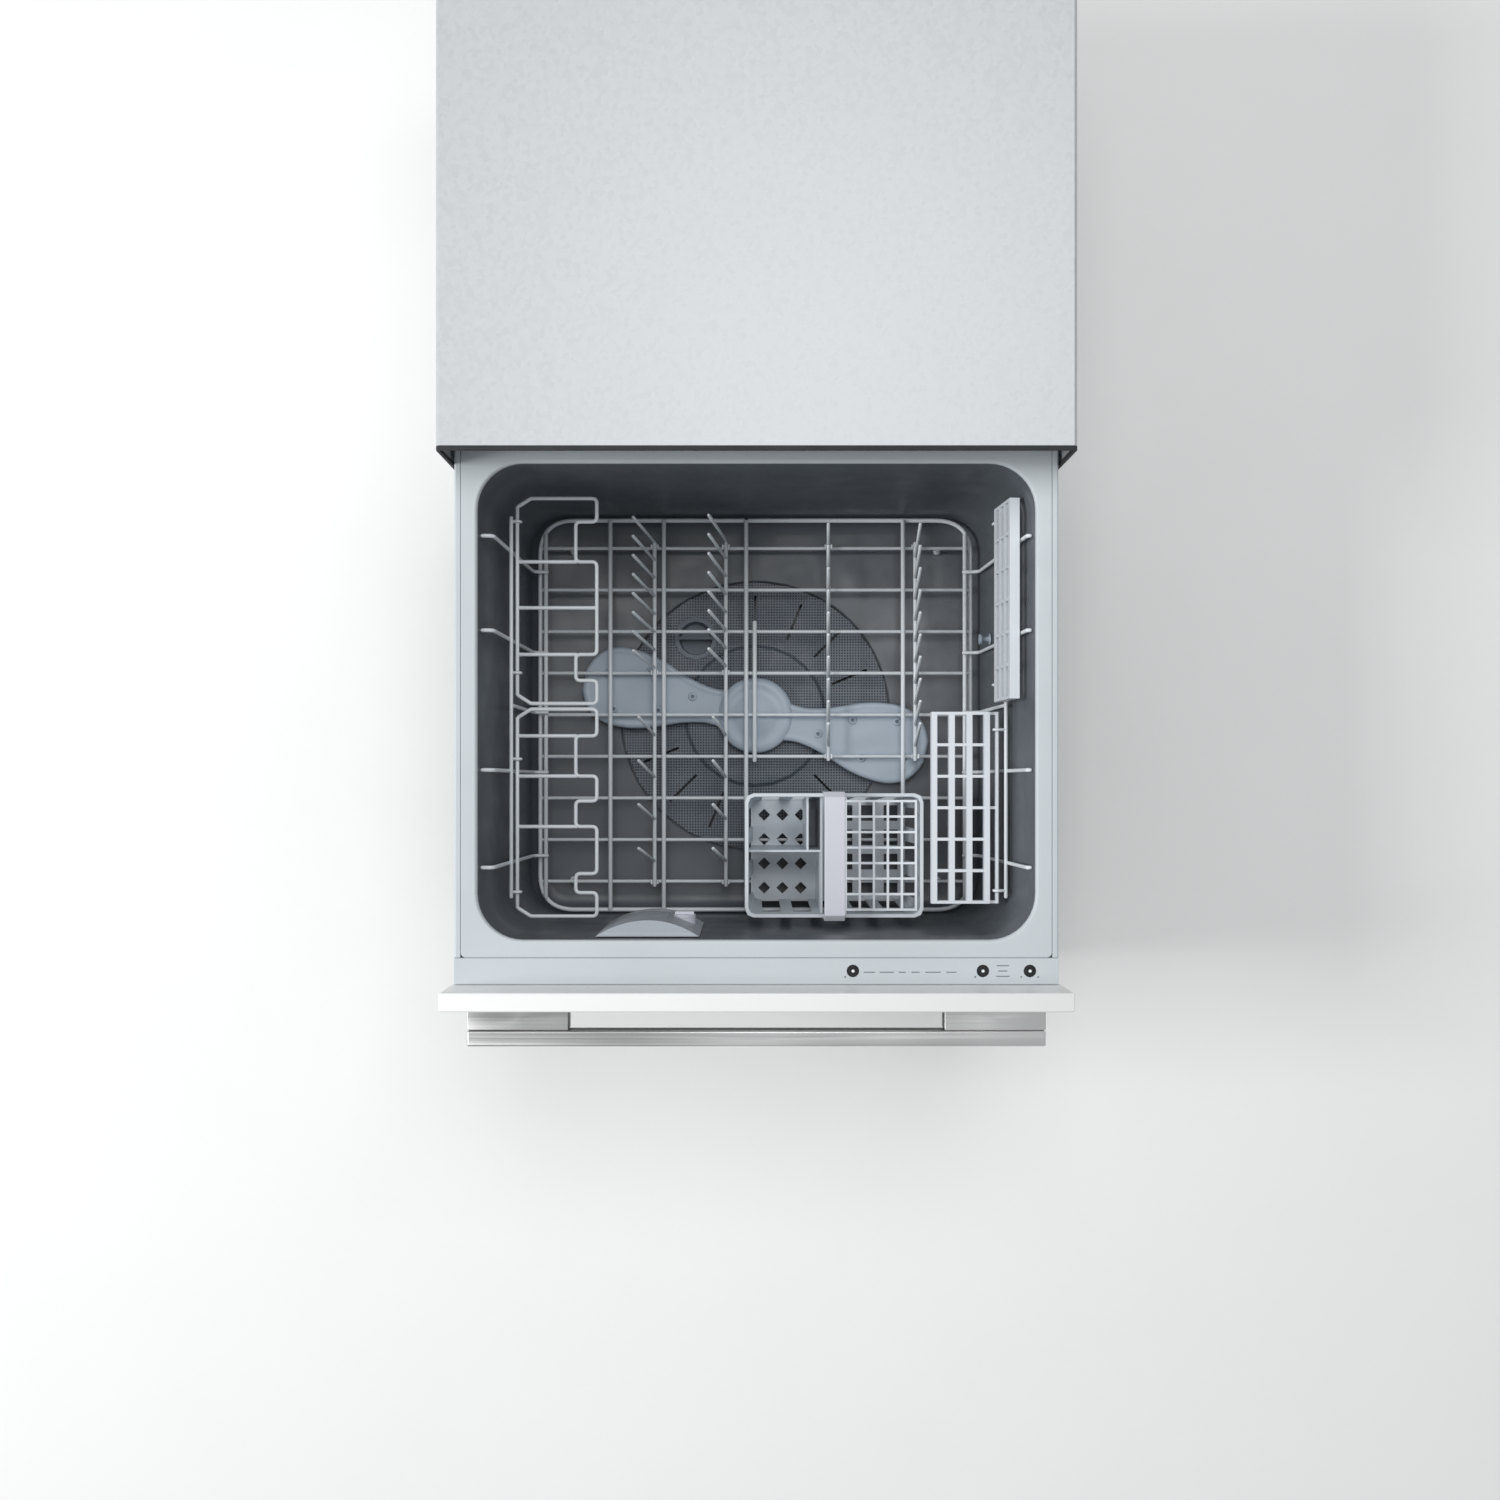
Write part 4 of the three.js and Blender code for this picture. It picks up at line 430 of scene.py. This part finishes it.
def brushed(name, colour, roughness, stretch=(0.004, 1, 1), bands=0.13):
    """Brushed stainless steel with its grain along one axis and slow bands of tone across it,
    partly random tone and partly a painted reflection of soft light bands.
    """
    look = Look(name, roughness, 1.0, Anisotropic=0.4)
    grain = look.noise(1100, 4, stretch)
    # Slow bands of lighter and darker tone: random tone and painted reflection together.
    slow = look.noise(5.5, 1, (1, 0.05, 0.05))
    tone = look.node("ShaderNodeMath", operation="MULTIPLY_ADD")
    look.links.new(grain, tone.inputs[0])
    tone.inputs[1].default_value = 0.2
    look.links.new(slow, tone.inputs[2])
    dark = shade(colour, 1 - bands)
    light = shade(colour, 1 + bands / 2)
    look.colours(tone.outputs["Value"], [(0.45, dark), (0.75, light)])
    look.rough(grain, roughness - 0.05, roughness + 0.07)
    look.bump(grain, 0.004)
    return look.material


def galvanised(name, colour, roughness, scale, metallic, contrast):
    """Zinc-coated sheet with its flakes of crystal, which a thin paint dulls."""
    look = Look(name, roughness, metallic)
    flakes = look.node("ShaderNodeTexVoronoi", Scale=scale)
    look.links.new(look.place, flakes.inputs["Vector"])
    grey = look.node("ShaderNodeRGBToBW")
    look.links.new(flakes.outputs["Color"], grey.inputs["Color"])
    tone = grey.outputs["Val"]
    dark = shade(colour, 1 - 0.16 * contrast)
    light = shade(colour, 1 + 0.1 * contrast)
    look.colours(tone, [(0.1, dark), (0.5, colour), (0.95, light)])
    look.rough(tone, roughness - 0.1 * contrast, roughness + 0.12 * contrast, 0.2, 0.9)
    look.bump(look.noise(60, 4), 0.05)
    return look.material


def perforated(name, colour, roughness, pitch):
    """Plastic sheet with a fine pattern of round holes, seen from above, painted on as dark dots:
    painted shade of the space below them.
    """
    look = Look(name, roughness)
    dots = look.node("ShaderNodeTexVoronoi", Scale=1 / (pitch * MM), Randomness=0.0)
    look.links.new(look.stretched((1, 1, 0)), dots.inputs["Vector"])
    radius = dots.outputs["Distance"]
    # Painted shade: each hole and its rim darker than the sheet.
    hole = shade(colour, 0.3)
    edge = shade(colour, 0.42)
    look.colours(radius, [(0.0, hole), (0.26, edge), (0.34, colour), (1.0, colour)])
    look.rough(look.noise(30, 3), roughness - 0.05, roughness + 0.1)
    look.bump(look.ramp(radius, 0.0, 1.0, 0.24, 0.36), 0.4)
    return look.material


RIM = plastic("rim_plastic", (194, 201, 205), 0.42, 0.02, 0.02)
# The tub's inside: its plastic darkened well past its own mid grey, as painted shade for the deep,
# shadowed interior.
TUB_WITH_PAINTED_SHADE = plastic("tub_plastic", (88, 94, 100), 0.36, 0.06, 0.03)
WASH = plastic("wash_plastic", (172, 184, 196), 0.42, 0.05, 0.04)
# Darker wash plastic: the drain filter's grey, and painted shade in the spray jets' shallow holes.
WASH_DARK_AND_PAINTED_SHADE = plastic("wash_dark_and_painted_shade", (112, 122, 132), 0.5, 0.05, 0.04)
DARK = plastic("dark_plastic", (52, 56, 60), 0.55, 0.08, 0.05)
RUBBER = plastic("rubber", (38, 40, 43), 0.75, 0.1, 0.06, 600)
PANEL = plastic(
    "panel_lacquer", (236, 236, 235), 0.34, 0.006, 0.0015, 380,
    Coat_Weight=0.25, Coat_Roughness=0.15,
)
BUTTON = plastic("button_plastic", (20, 22, 24), 0.28, 0.1, 0.01)
MARK = plastic("mark_ink", (120, 126, 131), 0.6, 0.03, 0.0)
LIGHT_MARK = plastic("light_mark", (228, 232, 235), 0.5, 0.02, 0.0)
WIRE_COAT = plastic("wire_coat", (228, 234, 238), 0.34, 0.02, 0.06, 260)
RACK = plastic("rack_plastic", (222, 228, 234), 0.42, 0.03, 0.03)
BASKET = plastic("basket_plastic", (206, 213, 219), 0.45, 0.04, 0.04)
HANDLE_GREY = plastic("handle_plastic", (206, 208, 217), 0.42, 0.03, 0.03)
STEEL_BAR = brushed("stainless_brushed", (222, 222, 221), 0.36)
# Steel darkened as painted shade, for the shadowed gap behind the handle bar.
STEEL_PAINTED_SHADE = brushed("stainless_painted_shade", (56, 56, 57), 0.45)
STEEL = brushed("stainless_plain", (186, 187, 188), 0.34, (0.05, 1, 1), 0.04)
ZINC = galvanised("galvanised_sheet", (172, 176, 179), 0.42, 240, 0.8, 0.4)
WRAPPER = galvanised("chassis_sheet", (192, 195, 197), 0.5, 220, 0.3, 0.15)
# The filter plate's holes are painted shade, dark dots on the sheet.
MESH = perforated("filter_mesh", (112, 121, 131), 0.45, 3.2)
DISPENSER = plastic("dispenser_plastic", (170, 177, 184), 0.4, 0.04, 0.03)


# ---------------------------------------------------------------- chassis, runners and lid
def sheet_work():
    softened("chassis_wrapper", WRAPPER, 0.3)
    softened("chassis_front_seal", RUBBER, 0.6)
    for node in ("base_pan", "rear_panel", "fixing_plate_right", "fixing_plate_left",
                 "front_frame"):
        softened(node, ZINC, 0.35)
    for node in ("fill_inlet", "drain_outlet", "cable_gland", "drain_spigot"):
        softened(node, DARK, 0.5, angle=42)
    for side in ("right", "left"):
        for member in ("outer_runner_", "middle_runner_", "inner_runner_", "runner_bracket_"):
            softened(member + side, ZINC, 0.25)
        softened("lid_lift_" + side, DARK, 0.6)
    softened("lid_panel", RIM, 0.5)
    softened("lid_seal", RUBBER, 0.8)


def screws(soup, places, direction, radius=3.4):
    """Pan heads with a socket in each."""
    profile = [
        (0, 0), (radius, 0), (radius, 0.9), (0.82 * radius, 1.7),
        (0.42 * radius, 1.9), (0.36 * radius, 0.8), (0, 0.7),
    ]
    for place in places:
        soup.turned(profile, place, 12, direction)


def fasteners():
    rear = Soup()
    places = [(x, REAR_PANEL_FACE, 398.5) for x in (-284, -142, 0, 142, 284)]
    places += [(x, REAR_PANEL_FACE, 22.5) for x in (-284, -142, 0, 60)]
    places += [(x, REAR_PANEL_FACE, z) for x in (-288, 288) for z in (130, 250)]
    screws(rear, places, (0, 1, 0))
    rear.piece("rear_screws", "rear_panel", STEEL, replaces=False)
    front = Soup()
    places = [(x, FRAME_REAR, 316) for x in (-270, -90, 90, 270)]
    places += [(x, FRAME_REAR, z) for x in (-276, 276) for z in (60, 200)]
    screws(front, places, (0, 1, 0))
    front.piece("frame_screws", "front_frame", STEEL, replaces=False)
    motor = Soup()
    screw_circle = 80
    for k in range(4):
        angle = (k + 0.5) * math.pi / 2
        x = screw_circle * math.cos(angle)
        y = CENTRE_Y + screw_circle * math.sin(angle)
        screws(motor, [(x, y, MOTOR_UNDERSIDE)], (0, 0, -1), 3.0)
    motor.piece("motor_screws", "motor_housing", STEEL, replaces=False)


# ---------------------------------------------------------------- tub, rim and controls
def tub_half_width(z):
    return OPENING_WIDTH / 2 - SIDE_TAPER * (RIM_TOP - z) / TUB_DEPTH


def tub_half_depth(z):
    return OPENING_DEPTH / 2 - END_TAPER * (RIM_TOP - z) / TUB_DEPTH


def tub_ring(z, outset, corner):
    """A ring round the tub's walls at a level, moved outwards."""
    half_width = tub_half_width(z) + outset
    half_depth = tub_half_depth(z) + outset
    return level_ring(CENTRE_Y, half_width, half_depth, corner, z)


def fillet_rings(base, gain, steps=6):
    """Rings up the fillet between the floor and the walls, moved outwards by the gain."""
    rings = []
    for step in range(steps + 1):
        angle = step / steps * math.pi / 2
        inward = FLOOR_FILLET * (1 - math.sin(angle))
        z = base + FLOOR_FILLET * (1 - math.cos(angle))
        corner = OPENING_CORNER - inward - CORNER_TAPER + gain
        rings.append(tub_ring(z, gain - inward, corner))
    return rings


def tub():
    """The moulding from the rim's edge into the well, out through its shaft hole and back up."""
    flange_front = CONTROL_SEAM + SEAM_GAP
    flange_y = (flange_front + RIM_REAR) / 2
    flange_depth = (RIM_REAR - flange_front) / 2
    rim_base = RIM_TOP - RIM_THICKNESS
    skirt_base = RIM_TOP - RIM_SKIRT
    wall_height = rim_base - TUB_FLOOR - FLOOR_FILLET
    underside = TUB_FLOOR - TUB_WALL
    outer_ledge = WELL_RADIUS + TUB_WALL
    outer_well = LEDGE_RADIUS + TUB_WALL

    def flange(z, inset):
        half_width = FLANGE_HALF_WIDTH - inset
        return level_ring(flange_y, half_width, flange_depth - inset, FLANGE_CORNER - inset, z)

    # Height above the rim's underside and distance from the wall, over the rounded lip
    lip_curve = ((3, 3.4), (2.9, 2.2), (2.3, 1.1), (1.2, 0.4), (0, 0))
    lip = [tub_ring(rim_base + rise, out, OPENING_CORNER + out) for rise, out in lip_curve]
    walls = [
        tub_ring(z, 0, OPENING_CORNER - CORNER_TAPER * (rim_base - z) / wall_height)
        for z in (300, 240, 180, 130)
    ]
    floor = fillet_rings(TUB_FLOOR, 0)[::-1]
    well_profile = [
        (WELL_RADIUS + 1.5, TUB_FLOOR), (WELL_RADIUS, TUB_FLOOR - 1.5), (WELL_RADIUS, LEDGE_Z),
        (LEDGE_RADIUS + 1, LEDGE_Z), (LEDGE_RADIUS, LEDGE_Z - 1),
        (LEDGE_RADIUS, WELL_FLOOR + 1.5), (LEDGE_RADIUS - 1.5, WELL_FLOOR),
        (SHAFT_HOLE, WELL_FLOOR), (SHAFT_HOLE, WELL_FLOOR - TUB_WALL),
        (outer_well, WELL_FLOOR - TUB_WALL), (outer_well, LEDGE_Z - TUB_WALL),
        (outer_ledge, LEDGE_Z - TUB_WALL), (outer_ledge, underside),
    ]
    well = [circle_like(floor[-1], radius, z) for radius, z in well_profile]
    under = fillet_rings(underside, TUB_WALL)
    skirt = [
        tub_ring(rim_base, TUB_WALL, OPENING_CORNER + TUB_WALL),
        flange(rim_base, 2), flange(skirt_base, 2), flange(skirt_base, 0),
        flange(RIM_TOP - 0.6, 0), flange(RIM_TOP, 0.6),
    ]
    inside = [*walls, *floor, *well, *under]
    # The lip and skirt take the rim's look. The walls, floor, well, underside and ribs take the
    # darkened tub look, which is painted shade.
    kinds = [0] * (len(lip) - 1) + [1] * (len(inside) + 1) + [0] * len(skirt)
    soup = Soup()
    soup.loft([*lip, *inside, *skirt], kinds, closed=True)
    skin_faces = len(soup.kinds)
    # Ribs from the tub's front wall towards the front panel
    rib_half, rib_base, rib_top = 1.5, 110, 296
    for x in (-210, -70, 70, 210):
        low = (x - rib_half, PANEL_REAR + 2.1, rib_base)
        high = (x + rib_half, OPENING_FRONT - 1.5, rib_top)
        soup.block(low, high)
    soup.kinds[skin_faces:] = [1] * (len(soup.kinds) - skin_faces)
    soup.piece("tub_moulding", "tub", [RIM, TUB_WITH_PAINTED_SHADE])


def controls():
    softened("control_panel", RIM, 0.4)
    softened("control_module", DARK, 0.5)
    for node in ("side_trim_right", "side_trim_left"):
        softened(node, RIM, 0.4)
    dot = [(0, 0), (1.5, 0), (1.5, 0.06), (0, 0.06)]
    for node, x in zip(("program_button", "option_button", "power_button"), BUTTONS):
        softened(node, BUTTON, 0.25, angle=40)
        mark = Soup()
        mark.turned(dot, (x, BUTTON_Y, RIM_TOP + 0.38), 20)
        mark.piece(node + "_mark", node, LIGHT_MARK, replaces=False)


def strip_marks():
    """Plain bars and dots that stand for the words beside the buttons."""
    soup = Soup()

    def bar(x, y, length, width=1.1):
        low = (x - length / 2, y - width / 2, RIM_TOP - 0.02)
        high = (x + length / 2, y + width / 2, RIM_TOP + 0.05)
        soup.block(low, high)

    for x, length in ((110, 11), (127, 14), (142, 7), (155, 8), (172, 15), (190, 10)):
        bar(x, BUTTON_Y - 1.2, length)
    for row, length in ((-1, 13), (0, 9), (1, 12)):
        bar(240, BUTTON_Y + 5.2 * row, length)
    for x, size in ((86.5, 1.8), (213.1, 1.8), (258, 1.6), (274.5, 1.6)):
        bar(x, BUTTON_Y - 5.8, size, size)
    soup.piece("strip_marks", "control_panel", MARK, replaces=False)


def panel_and_handle():
    softened("front_panel", PANEL, 0.6)
    # The bar's face towards the panel and each mount's inner end take the painted shade of that
    # gap.
    steel = [STEEL_BAR, STEEL_PAINTED_SHADE]
    softened("handle_bar", steel, 0.8, second=lambda normal: normal.y > 0.9)
    for node, side in (("handle_mount_right", 1), ("handle_mount_left", -1)):
        softened(node, steel, 0.3, second=lambda normal: normal.x * side < -0.9)


# ---------------------------------------------------------------- wash system
def offset_outline(points, inset):
    """A closed outline moved inwards by a distance."""
    count = len(points)
    moved = []
    for i, here in enumerate(points):
        along = points[(i + 1) % count] - points[i - 1]
        inward = Vector((-along.y, along.x, 0)).normalized()
        moved.append(here + inward * inset)
    return moved


def arm_outline(steps=4, rounds=3):
    """The spray arm's outline from half its width at distances from its axis, made smooth."""
    stations = [
        (30, 23), (48, 20.5), (60, 21), (82, 26), (100, 33), (117, 40), (140, 45.5), (165, 47),
        (185, 41), (198, 27), (204, 12),
    ]
    fine = []
    for (r0, w0), (r1, w1) in zip(stations, stations[1:]):
        for step in range(steps):
            t = step / steps
            fine.append((r0 + (r1 - r0) * t, w0 + (w1 - w0) * t))
    fine.append(stations[-1])
    for _ in range(rounds):
        middle = [
            tuple((before + 2 * here + after) / 4 for before, here, after in zip(*three))
            for three in zip(fine, fine[1:], fine[2:])
        ]
        fine = [fine[0], *middle, fine[-1]]
    wing = [Vector((r, -w, 0)) for r, w in fine] + [Vector((r, w, 0)) for r, w in reversed(fine)]
    return wing + [Vector((-p.x, -p.y, 0)) for p in wing]


def spray_arm():
    turn = math.radians(SPRAY_REST_ANGLE)

    def placed(point):
        x = point.x * math.cos(turn) - point.y * math.sin(turn)
        y = point.x * math.sin(turn) + point.y * math.cos(turn)
        return Vector((x, CENTRE_Y + y, point.z))

    # Height above the arm's underside and inset from its outline
    levels = [
        (0.0, 4.0), (0.8, 1.2), (2.4, 0.0), (6.8, 0.0), (8.6, 0.8), (9.6, 2.6), (10.0, 5.5),
        (9.4, 7.0), (9.4, 9.0),
    ]
    outline = arm_outline()
    rings = []
    for z, inset in levels:
        rise = Vector((0, 0, SPRAY_BOTTOM + z))
        rings.append([placed(p + rise) for p in offset_outline(outline, inset)])
    soup = Soup()
    soup.loft(rings)
    hub = [
        (0, 88.8), (8.4, 88.8), (8.4, 76.5), (20, 76.5), (44, 78.5), (44, 86), (42, 88),
        (36, 89.4), (33, 88.6), (24, 88.9), (21, 90.4), (0, 91),
    ]
    soup.turned(hub, (0, CENTRE_Y, 0), 48)
    # A jet: a ring round a shallow hole whose wall and floor take the darker look as painted
    # shade.
    jet = [(0, 0), (5.2, 0), (5.2, 1.0), (4.4, 1.7), (2.3, 1.7), (2.1, 0.4), (0, 0.4)]
    jet_seat = SPRAY_BOTTOM + 9.2
    for end in (-1, 1):
        for x, y in ((76, -6), (131, -23), (163, 27), (112, 18), (178, -12)):
            place = placed(Vector((end * x, end * y, jet_seat)))
            soup.turned(jet, place, 18, kinds=[0, 0, 0, 0, 1, 1])
    soup.piece("spray_arm_moulding", "spray_arm", [WASH, WASH_DARK_AND_PAINTED_SHADE], angle=WIRE_ANGLE)


def wash_system():
    spray_arm()
    softened("filter_plate", MESH, 0.3)
    softened("drain_filter", WASH_DARK_AND_PAINTED_SHADE, 0.3)
    softened("motor_housing", DARK, 0.6)
    softened("motor_rotor", ZINC, 0.4)
    softened("wash_impeller", WASH, 0.25)
    softened("heater_plate", STEEL, 0.3)
    softened("wall_nozzle", WASH, 0.4, angle=42)
    softened("dispenser_body", DISPENSER, 0.8)
    softened("dispenser_door", DISPENSER, 0)
    softened("rinse_aid_cap", HANDLE_GREY, 0.5)


# ---------------------------------------------------------------- racks
def rack_floor(soup):
    """The level grid of the base rack on its four feet."""
    for y in CROSSES:
        soup.bar((-RACK_HALF + 1, y, CROSS_Z), (RACK_HALF - 1, y, CROSS_Z), WIRE)
    for x in LONGS:
        # The outermost ones end where the edge wire bends
        inset = 13.5 if abs(x) == SIDE_WIRE_X else 0
        ends = (x, RACK_FRONT + inset, LONG_Z), (x, RACK_REAR - inset, LONG_Z)
        soup.bar(*ends, THICK_WIRE, 12)
    # A short wire beside the middle one
    short_x = -0.8
    ends = (short_x, CROSSES[3] - 6.4, LONG_Z), (short_x, CROSSES[6] + 12, LONG_Z)
    soup.bar(*ends, THICK_WIRE, 12)
    # The edge wire, welded shut at the rear end of the middle wire
    seam = LONGS[3]
    corners = [
        (seam - 1.5, RACK_REAR, CROSS_Z), (-RACK_HALF, RACK_REAR, CROSS_Z),
        (-RACK_HALF, RACK_FRONT, CROSS_Z), (RACK_HALF, RACK_FRONT, CROSS_Z),
        (RACK_HALF, RACK_REAR, CROSS_Z), (seam + 1.5, RACK_REAR, CROSS_Z),
    ]
    soup.tube(bent(corners, 40, 10), THICK_WIRE, 12)
    foot = [(0, 0), (4.2, 0), (4.6, 1.2), (4.2, 7), (2.6, 9), (0, 9)]
    foot_z = TUB_FLOOR + 0.3
    for x in (-213, 213):
        for y in (CROSSES[0], CROSSES[-1]):
            soup.bar((x, y, foot_z), (x, y, CROSS_Z), THICK_WIRE, 12)
            soup.turned(foot, (x, y, foot_z), 14)


def side_frame(node, side):
    """One side's wires: uprights, four of them hooked over the wall, a rail and hinge ears."""
    soup = Soup()
    left = side < 0
    axis, ears = (LEFT_AXIS, LEFT_EARS) if left else (RIGHT_AXIS, RIGHT_EARS)
    rail = LEFT_RAIL if left else RIGHT_RAIL
    top = LEFT_UPRIGHT if left else RIGHT_RAIL + 5.6
    low = (LEFT_UPRIGHT if left else RIGHT_RAIL) - 4
    wall = tub_half_width(HOOK_Z - 2 * WIRE) - 0.3

    def upright(y, *upper):
        foot = [(SIDE_WIRE_X - 4, FRAME_FOOT_Z), (low, FRAME_FOOT_Z + 1)]
        soup.tube(bent([(side * x, y, z) for x, z in (*foot, *upper)], 12), WIRE)

    for y in HOOKS:
        upright(y, (top, HOOK_Z), (wall, HOOK_Z))
    upright((HOOKS[1] + HOOKS[2]) / 2, (rail, SIDE_RAIL_Z))
    rail_x = side * rail
    rail_ends = (rail_x, RACK_FRONT + 26, SIDE_RAIL_Z), (rail_x, RACK_REAR - 26, SIDE_RAIL_Z)
    soup.bar(*rail_ends, WIRE)
    # An ear runs from the rail over the hinge wire, round it and back below
    ear = [(0, 4.4), (-3.8, 2.4), (-3.6, -2.4), (-2.2, -4), (2.4, -4.2)]
    for y in ears:
        loop = [(side * (axis + x), y, CUP_RACK_Z + z) for x, z in ear]
        path = [(rail_x, y, SIDE_RAIL_Z), *loop, (rail_x, y, SIDE_RAIL_Z - 1)]
        soup.tube(bent(path, 2, 3), EAR_WIRE, 8)
    soup.piece(node + "_wires", node, WIRE_COAT, angle=WIRE_ANGLE)


def rod_clips(soup, half_length=2.5, half_stem=1.9, steps=12):
    """A moulded jaw on the cross wire that grips the rod from below and stays open above it."""
    outer = TINE_ROD + 2.3
    inner = TINE_ROD + 0.45
    stem_top = ROD_Z - inner - 0.3
    mouth = math.asin(1.6 / outer)
    turns = [mouth - i * (math.pi + 2 * mouth) / steps for i in range(steps + 1)]

    def arc(x, y, radius):
        places = [(x + radius * math.cos(turn), ROD_Z + radius * math.sin(turn)) for turn in turns]
        return [(px, y - half_length, pz) for px, pz in places]

    for x, crosses in RODS.values():
        for y in (CROSSES[k] for k in crosses):
            soup.prism(arc(x, y, outer) + arc(x, y, inner)[::-1], (0, 2 * half_length, 0))
            low = (x - half_stem, y - half_stem, CROSS_Z)
            high = (x + half_stem, y + half_stem, stem_top)
            soup.block(low, high)


def base_rack():
    soup = Soup()
    rack_floor(soup)
    rod_clips(soup)
    soup.piece("base_rack_wires", "base_rack", WIRE_COAT, angle=WIRE_ANGLE)
    side_frame("rack_side_left", -1)
    side_frame("rack_side_right", 1)


def tine_row(node, *groups):
    """A rod with groups of leaning tines: first place, pitch, count, height and lean."""
    x, crosses = RODS[node]
    overhang = 5.5
    front_end = (x, CROSSES[crosses[0]] - overhang, ROD_Z)
    rear_end = (x, CROSSES[crosses[-1]] + overhang, ROD_Z)
    soup = Soup()
    soup.bar(front_end, rear_end, TINE_ROD, 12)
    for first, pitch, count, height, (lean_x, lean_y) in groups:
        for k in range(count):
            y = first - pitch * k
            soup.bar((x, y, ROD_Z), (x + lean_x, y + lean_y, ROD_Z + height), TINE)
    soup.piece(node + "_wires", node, WIRE_COAT, angle=WIRE_ANGLE)


def cup_rack(node, rear, front, steps, crosses):
    """A folding rack on the left: an edge wire stepped at its notches, hinge and cross wires."""
    axis = -LEFT_AXIS
    out = axis + 83
    notch = out - 22
    corner_x, corner_y = axis + 14, 9
    hinge_end = corner_y - 1
    z = CUP_RACK_Z
    edge = [(axis, rear - corner_y, z), (corner_x, rear, z), (out, rear, z)]
    for i, y in enumerate(steps):
        edge += [(out, y, z), (notch, y, z)] if i % 2 == 0 else [(notch, y, z), (out, y, z)]
    edge += [(out, front, z), (corner_x, front, z), (axis, front + corner_y, z)]
    soup = Soup()
    soup.tube(bent(edge, 5, 5), WIRE)
    soup.bar((axis, front + hinge_end, z), (axis, rear - hinge_end, z), WIRE)
    for y in crosses:
        # At a step the edge wire itself goes on from the notch
        reach = out if steps[1] > y > steps[2] else notch + WIRE
        soup.bar((axis, y, z), (reach, y, z), WIRE)
    soup.piece(node + "_wires", node, WIRE_COAT, angle=WIRE_ANGLE)


def racks():
    base_rack()
    saucer_first = CROSSES[8] + 7.2
    saucers = (CROSS_PITCH * 3 / 7, 8, 96, (-17, 11))
    bowls = (CROSSES[4] - CROSS_PITCH / 2, CROSS_PITCH, 4, 72, (-13, 18))
    plate_pitch = CROSS_PITCH / 2
    plates = (CROSSES[8] - plate_pitch / 2, plate_pitch, 10, 90, (-5, 22))
    tine_row("saucer_tines_left", (saucer_first - 2, *saucers), bowls)
    tine_row("saucer_tines_right", (saucer_first, *saucers), bowls)
    tine_row("plate_tines_left", plates)
    tine_row("plate_tines_right", plates)
    rear_steps = [-312, -353.9, -450.8, -478]
    front_steps = [-535.9, -578, -604, -630.8, -680, -700]
    cup_rack("cup_rack_left_rear", RACK_REAR - 6.5, -502, rear_steps, [-353.9, -402, -450.8])
    cup_rack("cup_rack_left_front", -508, RACK_FRONT + 7, front_steps, [-535.9, -578, -630.8])
    softened("cup_rack_right_rear", RACK, 0.7)
    softened("cup_rack_right_front", RACK, 0.7)
    softened("cutlery_basket", BASKET, 0.4)
    softened("basket_handle", HANDLE_GREY, 0.8)
    softened("basket_cover", RACK, 0)


# ---------------------------------------------------------------- stage, light and camera
def area_light(name, place, size, energy):
    """A square light that faces the middle of the drawer."""
    light = bpy.data.lights.new(name, "AREA")
    light.shape = "RECTANGLE"
    light.size = light.size_y = size
    light.energy = energy
    obj = linked_object(name, light)
    obj.location = place
    aim = Vector((0.0, -0.5, 0.2)) - Vector(place)
    obj.rotation_euler = aim.to_track_quat("-Z", "Y").to_euler()


def stage():
    """A pale floor just below the part, soft light from all round and two lights."""
    reach = 6.0
    level = -0.0005
    signs = ((-1, -1), (1, -1), (1, 1), (-1, 1))
    mesh = bpy.data.meshes.new("floor")
    mesh.from_pydata([(x * reach, y * reach, level) for x, y in signs], [], [(0, 1, 2, 3)])
    floor = linked_object("floor", mesh)
    floor.data.materials.append(plastic("floor_paint", (243, 243, 242), 0.7, 0.004, 0.01))
    world = bpy.data.worlds.new("studio")
    bpy.context.scene.world = world
    world.use_nodes = True
    background = world.node_tree.nodes["Background"]
    background.inputs["Color"].default_value = (0.93, 0.95, 0.97, 1)
    background.inputs["Strength"].default_value = 0.45
    area_light("key", (-3.6, -0.7, 2.7), 1.3, 112)
    area_light("overhead", (0.2, 0.4, 2.9), 1.6, 30)


def camera():
    """Straight above the drawer, with the photograph's field of view and framing."""
    data = bpy.data.cameras.new("camera")
    data.lens = 33.27
    data.shift_y = 0.0233
    obj = linked_object("camera", data)
    obj.location = (-0.0062, -0.5872, 1.702)
    bpy.context.scene.camera = obj
    bpy.context.scene.view_settings.view_transform = "Standard"


camera()
stage()
sheet_work()
fasteners()
tub()
controls()
strip_marks()
panel_and_handle()
wash_system()
racks()
